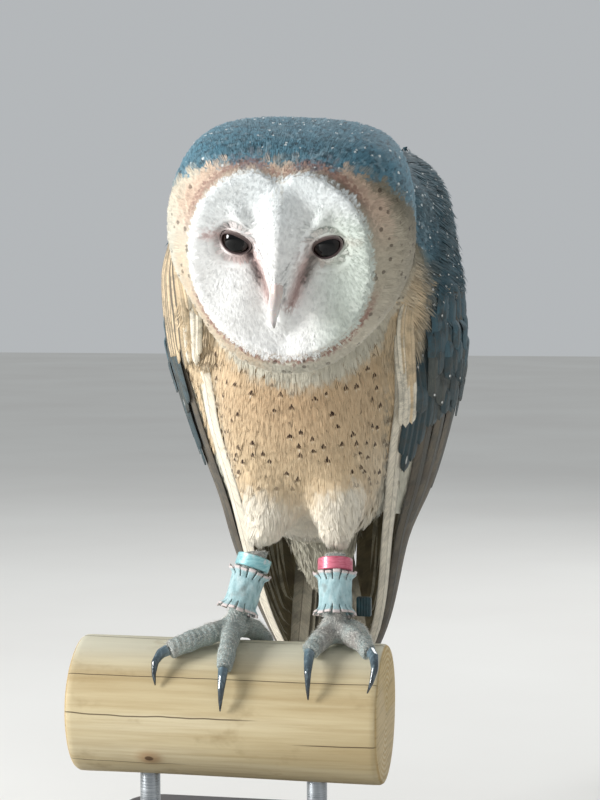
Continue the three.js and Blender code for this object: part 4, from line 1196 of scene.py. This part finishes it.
# ---------- Eyes ----------
# Nearly black balls of blown glass with a clear bulge over the iris, set behind the lids as a
# taxidermist sets them.
eye_black = Recipe("eye_black", 0.06, Specular_IOR_Level=0.3)
gaze = eye_black.attribute("gaze", "Vector")
off_gaze = eye_black.node(
    "ShaderNodeVectorMath", 1, {"operation": "LENGTH"}, i0=eye_black.stretch(gaze, 1, 0, 1))
iris = eye_black.ramp(off_gaze, (0.42, "#020203"), (0.5, "#130b08"), (0.72, "#1c100b"), (0.8, "#050404"))
fleck = eye_black.noise(gaze, 14.0, 4.0)
eye_black.done(eye_black.paint(iris, "#000000", eye_black.band(fleck, 0.4, 0.8, 0.0, 0.35)))
for side, way in SIDES:
    turn, tilt = np.meshgrid(np.linspace(0, 2 * np.pi, 49)[:-1], np.linspace(0.02, np.pi - 0.02, 32))
    facing = np.stack([np.sin(tilt) * np.cos(turn), -np.cos(tilt), np.sin(tilt) * np.sin(turn)], 2)
    swell = EYE["radius"] - 0.25 + 0.35 * ease(0.75 - tilt, 0, 0.4)
    ball = facing * swell[..., None] + [way * EYE["across"], EYE["behind"], EYE["height"]]
    eyeball = new_object(
        f"eyeball_{side}", from_head(ball.reshape(-1, 3)), grid_faces(*turn.shape, closed=True))
    store(eyeball, "gaze", "FLOAT_VECTOR", facing)
    wear(eyeball, eye_black.material, "cornea", f"eye_{side}")

# ---------- Bill ----------
# Pale horn, hooked over at the tip, with a slit of a nostril in the softer cere on each side. It
# grows from the skull and its root is lost in the face's feathers.
bill_points, bill_quads = fused(["bill_upper", "bill_lower"], 0.35 * MM, 14)
bill_points = bridged(bill_points, bill_quads, 1.0, 4, 40)
q = in_head(bill_points)
q[:, 0] *= 0.66
q[:, 1] += 4.5 * ease(q[:, 2], -12, -6)
nostril = bell(q[:, 2], -12.2 + 0.3 * (q[:, 1] + 44), 1.3) * bell(q[:, 1], -43.3, 1.5)
q[:, 0] -= np.sign(q[:, 0]) * 0.9 * nostril * ease(np.abs(q[:, 0]), 0.8, 2)
bill = new_object("bill", from_head(q), bill_quads)
store(bill, "nostril_shade", "FLOAT", nostril)
store(bill, "tipward", "FLOAT", ease(-q[:, 2], 4, 19))
horn = Recipe("bill_horn", 0.32, Coat_Weight=0.25, Subsurface_Weight=0.12, Subsurface_Scale=0.002)
grain = horn.grain((400, 400, 120), 4.0, 0.6)
pale = horn.ramp(
    horn.attribute("tipward"), (0.0, "#d6c3bc"), (0.45, "#e2dad6"), (0.9, "#d2cfcc"), (1.0, "#a5a2a0"))
pale = horn.paint(pale, "#b08d83", horn.band(grain, 0.45, 0.75, 0.0, 0.25))
# Painted shade: the nostril's slit is darkened as its opening would be in shade.
pale = horn.paint(pale, "#3a2826", horn.band(horn.attribute("nostril_shade"), 0.35, 0.8, 0.0, 0.9))
horn.done(pale, None, horn.bump(grain, 0.2, 0.0003))
wear(bill, horn.material, "bill_horn", "bill_upper", "bill_lower")

# ---------- Toe bristles ----------
# Short stiff white hairs stand over the scutes on top of the toes and down the shanks. Each is a
# flat blade of mesh, rooted in the hide and bent towards the claws.


def bristles(name, where, count, long, seed):
    dice = np.random.default_rng(seed)
    root_at = dice.choice(np.flatnonzero(where), count, replace=False)
    root, normal = leg_points[root_at], leg_normals[root_at]
    on_right = root[:, :1] < STANCE.x + 4 * MM
    outward = unit(root - np.where(on_right, *([np.array(ankles[side])] for side, _ in SIDES)))
    way = unit(outward * [1, 1, 0] + [0, 0, -0.45] + 0.45 * dice.standard_normal((count, 3)))
    way = unit(way - normal * (way * normal).sum(1)[:, None] + 0.4 * normal)
    over = unit(np.cross(way, normal)) * 0.07 * MM
    reach = long * MM * dice.uniform(0.5, 1.1, (count, 1))
    middle, tip = root + way * reach * 0.55 + normal * 0.1 * MM, root + way * reach
    upper = over * 0.8
    points = np.stack([root - over, root + over, middle + upper, middle - upper, tip], 1).reshape(-1, 3)
    faces = np.array([[0, 1, 2], [0, 2, 3], [3, 2, 4]])[None] + 5 * np.arange(count)[:, None, None]
    piece = new_object(name, points, faces.reshape(-1, 3))
    bake_map(piece, np.repeat(dice.random((count, 2)), 5, axis=0))
    return piece


bristle = Recipe("bristle", 0.6, Sheen_Weight=0.1)
wan = bristle.noise(bristle.place(), 500.0, 3.0)
bristle.done(bristle.ramp(wan, (0.35, "#c9c6bc"), (0.65, "#f1efe8")), bristle.band(wan, 0.3, 0.7, 0.5, 0.7))
top_of_toe = leg_normals[:, 2] - 0.4 * leg_normals[:, 1] > 0.15
wear(bristles("toe_bristles", top_of_toe, 5200, 2.0, 75), bristle.material, "leg_scale")

# ---------- Claws ----------
# Curved horn, glossy, blue-grey where it leaves the toe and nearly black at the point. Each claw
# grows out of its toe's last joint.
claw_horn = Recipe("claw_horn", 0.22, Coat_Weight=0.6, Coat_Roughness=0.1)
fibre = claw_horn.grain((900, 900, 250), 3.0)
tipward = claw_horn.attribute("tipward")
dark = claw_horn.ramp(tipward, (0.0, "#8fa0a6"), (0.16, "#5a6e78"), (0.55, "#34444d"), (1.0, "#15191c"))
dark = claw_horn.paint(dark, "#8ba0a8", claw_horn.band(fibre, 0.45, 0.7, 0.0, 0.35))
claw_horn.done(dark, None, claw_horn.bump(fibre, 0.15, 0.0002))
for side, _ in SIDES:
    middle = in_body(np.array([ankles[side]]))[0]
    for digit in DIGITS:
        node = f"claw_{side}_{digit}"
        points, quads = fused([node], 0.28 * MM, 12)
        gap = np.linalg.norm(in_body(points) - middle, axis=1)
        claw = new_object(f"talon_{side}_{digit}", points, quads)
        store(claw, "tipward", "FLOAT", (gap - gap.min()) / np.ptp(gap))
        wear(claw, claw_horn.material, "claw_horn", node)

# ---------- Rings, anklets and tag ----------
# A flat split ring of coloured metal on each shank, over a soft leather anklet cut into a fringe at
# both ends. The bare places on the rings carry nothing.
SHANKS = {"right": ((-13.4, 8.5, 39), (-23, -2.5, 5)), "left": ((20.5, 8.5, 39), (22, -2.5, 5))}


def round_shank(side, down, radius, turn):
    """World points round a shank, a way down it from the heel in millimetres."""
    heel, foot = (np.array(p, float) for p in SHANKS[side])
    axis = unit(foot - heel)
    front = unit(np.array([0, -1.0, 0]) - axis * (np.array([0, -1.0, 0]) @ axis))
    over = np.cross(axis, front)
    down, radius, turn = np.broadcast_arrays(down, radius, turn)
    out = front * np.cos(turn)[..., None] + over * np.sin(turn)[..., None]
    return (heel + axis * down[..., None] + out * radius[..., None]) * MM + np.array(STANCE)


def firm(piece, thickness):
    """Gives a sheet its thickness, inwards."""
    solid = piece.modifiers.new("thick", "SOLIDIFY")
    solid.thickness, solid.offset = thickness, -1
    return piece


SHANK_LENGTH = {side: math.dist(*SHANKS[side]) for side, _ in SIDES}
RING_PROFILE = [(5.9, -2.75), (7.2, -2.75), (7.55, -2.4), (7.55, 2.4), (7.2, 2.75), (5.9, 2.75)]
for side, light, deep in (("right", "#a5d6da", "#76b7be"), ("left", "#de7b8f", "#c2546a")):
    turn = np.linspace(0, 2 * np.pi, 97)[:-1]
    profile = np.array(RING_PROFILE + RING_PROFILE[:1])
    at = 0.19 * SHANK_LENGTH[side] + profile[:, 1:]
    ring = new_object(f"leg_ring_{side}", round_shank(side, at, profile[:, :1], turn[None]).reshape(-1, 3),
                      grid_faces(len(profile), len(turn), closed=True), smooth=False)
    r = Recipe(f"ring_{side}", 0.38, Metallic=0.25, Coat_Weight=0.2)
    scuff = r.grain((300, 300, 1400), 4.0, 0.7)
    worn = r.noise(r.place(), 240.0, 3.0)
    paint_tone = r.ramp(scuff, (0.35, deep), (0.6, light))
    paint_tone = r.paint(paint_tone, "#e6e2df", r.band(worn, 0.58, 0.72, 0.0, 0.6))
    r.done(paint_tone, r.band(scuff, 0.3, 0.7, 0.3, 0.5), r.bump(scuff, 0.2, 0.0002))
    wear(ring, r.material, "ring_blue" if side == "right" else "ring_red", f"ring_{side}")

leather = Recipe("anklet_hide", 0.8, Sheen_Weight=0.15)
pore = leather.node("ShaderNodeTexVoronoi", 0, Vector=leather.place(), Scale=1500.0)
crease = leather.grain((500, 500, 200), 4.0, 0.65)
tan = leather.ramp(crease, (0.3, "#84a3a7"), (0.5, "#a6c5c9"), (0.72, "#bfd5d7"))
soil = leather.noise(leather.place(), 180.0, 3.0)
tan = leather.paint(tan, "#7d7d77", leather.band(soil, 0.52, 0.7, 0.0, 0.45))
tan = leather.paint(tan, "#dfc9c4", leather.band(leather.attribute("cut"), 0.55, 0.95, 0.0, 0.8))
leather.done(tan, None, leather.bump(crease, 0.4, 0.0004, leather.bump(pore, 0.25, 0.0002)))
TABS = 15
for side, way in SIDES:
    middle, half_long = 0.54 * SHANK_LENGTH[side], 9.0
    columns = TABS * 6
    turn = np.linspace(0, 2 * np.pi, columns + 1)[:-1]
    rows = np.linspace(-1, 1, 25)
    waver = 0.25 * np.sin(3 * turn + rows[:, None] * 2) + 0.12 * np.sin(9 * turn - rows[:, None] * 5)
    flare = 0.5 * np.abs(rows) ** 3 + 1.9 * ease(np.abs(rows), 0.66, 1.0)
    in_tab = (np.arange(columns) % 6 + 0.5) / 6 - 0.5
    curl = 0.35 * np.cos(turn * 5 + 1)[None] * ease(np.abs(rows), 0.7, 1)[:, None]
    radius = 6.5 + waver + flare[:, None] + curl
    shift = ease(np.abs(rows), 0.68, 0.82)[:, None] * (in_tab * -0.028)[None]
    ragged = 1 + 0.06 * np.sin(np.arange(columns) // 6 * 2.4)[None] * ease(np.abs(rows), 0.8, 1)[:, None]
    down = middle + half_long * rows[:, None] * ragged
    cuff = round_shank(side, down, radius, turn[None] + shift)
    faces = grid_faces(len(rows), columns, closed=True)
    row_of, column_of = faces[:, 0] // columns, faces[:, 0] % columns
    slit = (column_of % 6 == 5) & ((row_of < 5) | (row_of > 18))
    anklet = new_object(f"anklet_cuff_{side}", cuff.reshape(-1, 3), faces[~slit])
    store(anklet, "cut", "FLOAT", np.repeat(ease(np.abs(rows), 0.7, 1), columns))
    wear(firm(anklet, 0.6 * MM), leather.material, "hide", f"anklet_{side}")

tag_low, tag_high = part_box("anklet_left_tag")
size, centre = tag_high - tag_low, (tag_high + tag_low) / 2
bpy.ops.mesh.primitive_cube_add(size=1)
tag = bpy.context.active_object
tag.name = "leg_tag"
tag.data.transform(Matrix.Translation(centre) @ Matrix.Diagonal((*size, 1)))
edge = tag.modifiers.new("edge", "BEVEL")
edge.width, edge.segments = 0.7 * MM, 3
plastic = Recipe("tag_plastic", 0.42)
ribs = plastic.node("ShaderNodeTexWave", 1, Vector=plastic.place(), Scale=260.0, Distortion=0.4)
shell = plastic.ramp(plastic.noise(plastic.place(), 300.0, 3.0), (0.35, "#12282c"), (0.7, "#24474d"))
plastic.done(shell, None, plastic.bump(ribs, 0.5, 0.0004))
wear(tag, plastic.material, "tag", "anklet_left_tag")

# ---------- Rail ----------
# A peeled and rounded pine pole, sawn off square, with drying checks along it, a small knot and
# a paler grey over its upper half.
rail_low, rail_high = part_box("perch_rail")
RAIL_RADIUS = (rail_high.z - rail_low.z) / 2
ROUND, LONG = 240, 120
turn = np.linspace(0, 2 * np.pi, ROUND + 1)[:-1]
length = rail_high.x - rail_low.x
edge_steps = np.array([0, 0.25, 0.7, 1.4]) * MM
along = np.concatenate([edge_steps, np.linspace(0, length, LONG)[3:-3], length - edge_steps[::-1]])
from_end = np.minimum(along, length - along)
inset = np.interp(from_end, [0, 0.3 * MM, 1.4 * MM, 2 * MM], [1.3 * MM, 0.7 * MM, 0.1 * MM, 0])
two_lobes = np.sin(2 * turn[None] + along[:, None] * 25)
five_lobes = np.sin(5 * turn[None] - along[:, None] * 40)
wobble = 0.25 * MM * (two_lobes + 0.6 * five_lobes)
KNOT_ALONG, KNOT_TURN = 36 * MM, -0.62
knot = 0.7 * MM * bell(along[:, None], KNOT_ALONG, 5 * MM) * bell(turn[None], KNOT_TURN % (2 * np.pi), 0.14)
radius = RAIL_RADIUS - 0.3 * MM - inset[:, None] + wobble + knot
rail = np.zeros((len(along), ROUND, 3))
rail[..., 0] = rail_low.x + along[:, None]
rail_y, rail_z = (rail_low.y + rail_high.y) / 2, (rail_low.z + rail_high.z) / 2
rail[..., 1] = rail_y - radius * np.cos(turn[None])
rail[..., 2] = rail_z + radius * np.sin(turn[None])
caps = []
for end in (0, -1):
    middle = rail[end].mean(0)
    caps += [middle + (rail[end] - middle) * k for k in (0.75, 0.5, 0.25, 0.02)]
stack = np.array(caps[:4][::-1] + list(rail) + caps[4:])
pole = new_object("pine_pole", stack.reshape(-1, 3), grid_faces(len(stack), ROUND, closed=True))
half_turn = np.where(turn > np.pi, turn - 2 * np.pi, turn)
store(pole, "round", "FLOAT_VECTOR", np.stack([
    stack[..., 0], np.broadcast_to(half_turn, stack.shape[:2]),
    np.hypot(stack[..., 1] - rail_y, stack[..., 2] - rail_z)], 2))
wood = Recipe("peeled_pine", 0.62, Specular_IOR_Level=0.3)
x_place, angle, out_place = (
    wood.node("ShaderNodeSeparateXYZ", k, Vector=wood.attribute("round", "Vector")) for k in range(3))
fibre = wood.grain((14, 420, 420), 5.0, 0.65)
broad = wood.grain((5, 60, 60), 3.0)
tone = wood.ramp(broad, (0.3, "#b09a70"), (0.5, "#cbbb95"), (0.7, "#d8ccac"))
tone = wood.paint(tone, "#987b4d", wood.band(fibre, 0.35, 0.75, 0.0, 0.35))
grey_top = wood.band(angle, 0.55, 1.25)
tone = wood.paint(tone, "#d9dacb", grey_top, 0.65)
stain = wood.grain((38, 55, 55), 4.0, 0.6)
tone = wood.paint(tone, "#8d7650", wood.band(stain, 0.56, 0.72, 0.0, 0.45))
crack_total = None
CHECKS = [  # round from the front, from x, to x, half thickness in radians, wander
    (0.62, -0.09, 0.06, 0.006, 0.02), (0.05, -0.09, 0.001, 0.010, 0.05), (-0.28, 0.018, 0.06, 0.009, 0.015),
    (-0.75, -0.09, -0.03, 0.007, 0.03), (1.5, -0.09, 0.06, 0.012, 0.04), (2.4, -0.06, 0.06, 0.010, 0.04),
    (-2.2, -0.09, 0.03, 0.012, 0.05), (-1.4, -0.02, 0.06, 0.008, 0.03),
]
for middle, first, last, half, wander in CHECKS:
    drift = wood.times(wood.grain((30, 0, 0), 2.0), wander * 2)
    off = wood.math("ABSOLUTE", wood.minus(wood.minus(angle, middle - wander), drift))
    opens = wood.band(x_place, first - 0.004, first + 0.012)
    closes = wood.band(x_place, last + 0.004, last - 0.012)
    line = wood.times(wood.band(off, half, half * 0.3), wood.times(opens, closes))
    crack_total = line if crack_total is None else wood.math("MAXIMUM", crack_total, line)
# Painted shade: each drying check is darkened as shade down in the split.
tone = wood.paint(tone, "#4a3520", crack_total, 0.8)
knot_x = wood.math("DIVIDE", wood.minus(x_place, rail_low.x + KNOT_ALONG), 0.0042)
knot_y = wood.math("DIVIDE", wood.minus(angle, KNOT_TURN), 0.1)
knot_gap = wood.math("SQRT", wood.plus(wood.math("POWER", knot_x, 2.0), wood.math("POWER", knot_y, 2.0)))
tone = wood.paint(tone, "#8f5f33", wood.band(knot_gap, 2.0, 0.5, 0.0, 0.55))
tone = wood.paint(tone, "#3c2414", wood.band(knot_gap, 0.55, 0.35, 0.0, 0.8))
sawn = wood.math(
    "MAXIMUM", wood.band(x_place, rail_low.x + 0.0012, rail_low.x + 0.0002),
    wood.band(x_place, rail_high.x - 0.0012, rail_high.x - 0.0002))
rings_wave = wood.math("SINE", wood.plus(wood.times(out_place, 2600.0), wood.times(broad, 9.0)))
end_grain = wood.ramp(wood.band(rings_wave, -1.0, 1.0), (0.0, "#b89d6c"), (1.0, "#c9b78e"))
saw_marks = wood.grain((0, 40, 900), 2.0)
tone = wood.mix(sawn, tone, wood.paint(end_grain, "#7d6640", wood.band(saw_marks, 0.45, 0.7, 0.0, 0.35)))
hollow = wood.minus(wood.times(fibre, 0.25), crack_total)
relief = wood.bump(hollow, 0.8, 0.0007, wood.bump(saw_marks, 0.2, 0.0005))
wood.done(tone, wood.band(grey_top, 0.0, 1.0, 0.55, 0.75), relief)
wear(pole, wood.material, "pine", "perch_rail")

# ---------- Display stand ----------
# Two brushed steel rods, each in a turned collar, stand in a flat board of dark stained hardwood
# with rounded edges and carry the rail.


def turned(name, middle, outline):
    """A piece turned round an upright line at middle, from (radius, height) pairs."""
    turn = np.linspace(0, 2 * np.pi, 65)[:-1]
    radius, height = np.array(outline).T[..., None]
    points = np.stack([
        middle.x + radius * np.cos(turn), middle.y + radius * np.sin(turn), height + 0 * turn], 2)
    faces = grid_faces(len(outline), len(turn), closed=True)[:, ::-1]
    return new_object(name, points.reshape(-1, 3), faces)


brushed = Recipe("brushed_steel", 0.3, Metallic=1.0, Anisotropic=0.5)
brush = brushed.grain((60, 60, 3000), 3.0)
bright = brushed.ramp(brush, (0.3, "#8f9498"), (0.7, "#b9bdc0"))
brushed.done(bright, brushed.band(brush, 0.3, 0.7, 0.24, 0.4), brushed.bump(brush, 0.15, 0.0002))
board_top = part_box("stand_base")[1].z
for side, _ in SIDES:
    low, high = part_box(f"stand_rod_{side}")
    middle, radius = (low + high) / 2, (high.x - low.x) / 2
    rod = turned(f"rod_{side}", middle, [
        (radius * 0.9, low.z), (radius, low.z + 4 * MM), (radius, high.z - 1 * MM), (radius * 0.85, high.z)])
    wear(rod, brushed.material, "stand_steel", f"stand_rod_{side}")
    collar = turned(f"rod_collar_{side}", middle, [
        (radius + wide * MM, board_top + up * MM)
        for wide, up in ((0, 0), (3.2, 0), (3.4, 1.2), (2.6, 2.2), (0, 2.4))])
    wear(collar, brushed.material, "stand_steel")

low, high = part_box("stand_base")
CORNER = 16 * MM
arc = np.linspace(0, np.pi / 2, 13)
outline = np.concatenate([
    np.column_stack([(high.x - CORNER) * sx + CORNER * np.cos(arc + first),
                     (high.y - CORNER) * sy + CORNER * np.sin(arc + first)])
    for sx, sy, first in ((1, 1, 0), (-1, 1, np.pi / 2), (-1, -1, np.pi), (1, -1, 1.5 * np.pi))])
PROFILE = [  # share of the outline, height in millimetres
    (0.002, 0), (0.5, 0), (0.985, 0), (1, 0.8), (1, 8.5), (0.995, 10.8), (0.985, 12.6), (0.97, 13.6),
    (0.95, 14), (0.6, 14), (0.2, 14), (0.002, 14),
]
board = np.array([
    np.column_stack([outline * share_out, np.full(len(outline), up * MM)]) for share_out, up in PROFILE])
board_faces = grid_faces(len(PROFILE), len(outline), closed=True)[:, ::-1]
base = new_object("base_board", board.reshape(-1, 3), board_faces)
oak = Recipe("stained_board", 0.4, Coat_Weight=0.3, Coat_Roughness=0.25)
figure = oak.grain((12, 240, 120), 5.0, 0.65)
pores = oak.grain((90, 1600, 900), 2.0)
stain = oak.ramp(figure, (0.3, "#1d1512"), (0.55, "#33241c"), (0.75, "#46332a"))
stain = oak.paint(stain, "#120d0b", oak.band(pores, 0.56, 0.68, 0.0, 0.7))
oak.done(stain, None, oak.bump(pores, 0.3, 0.0002))
wear(base, oak.material, "stand_wood", "stand_base")
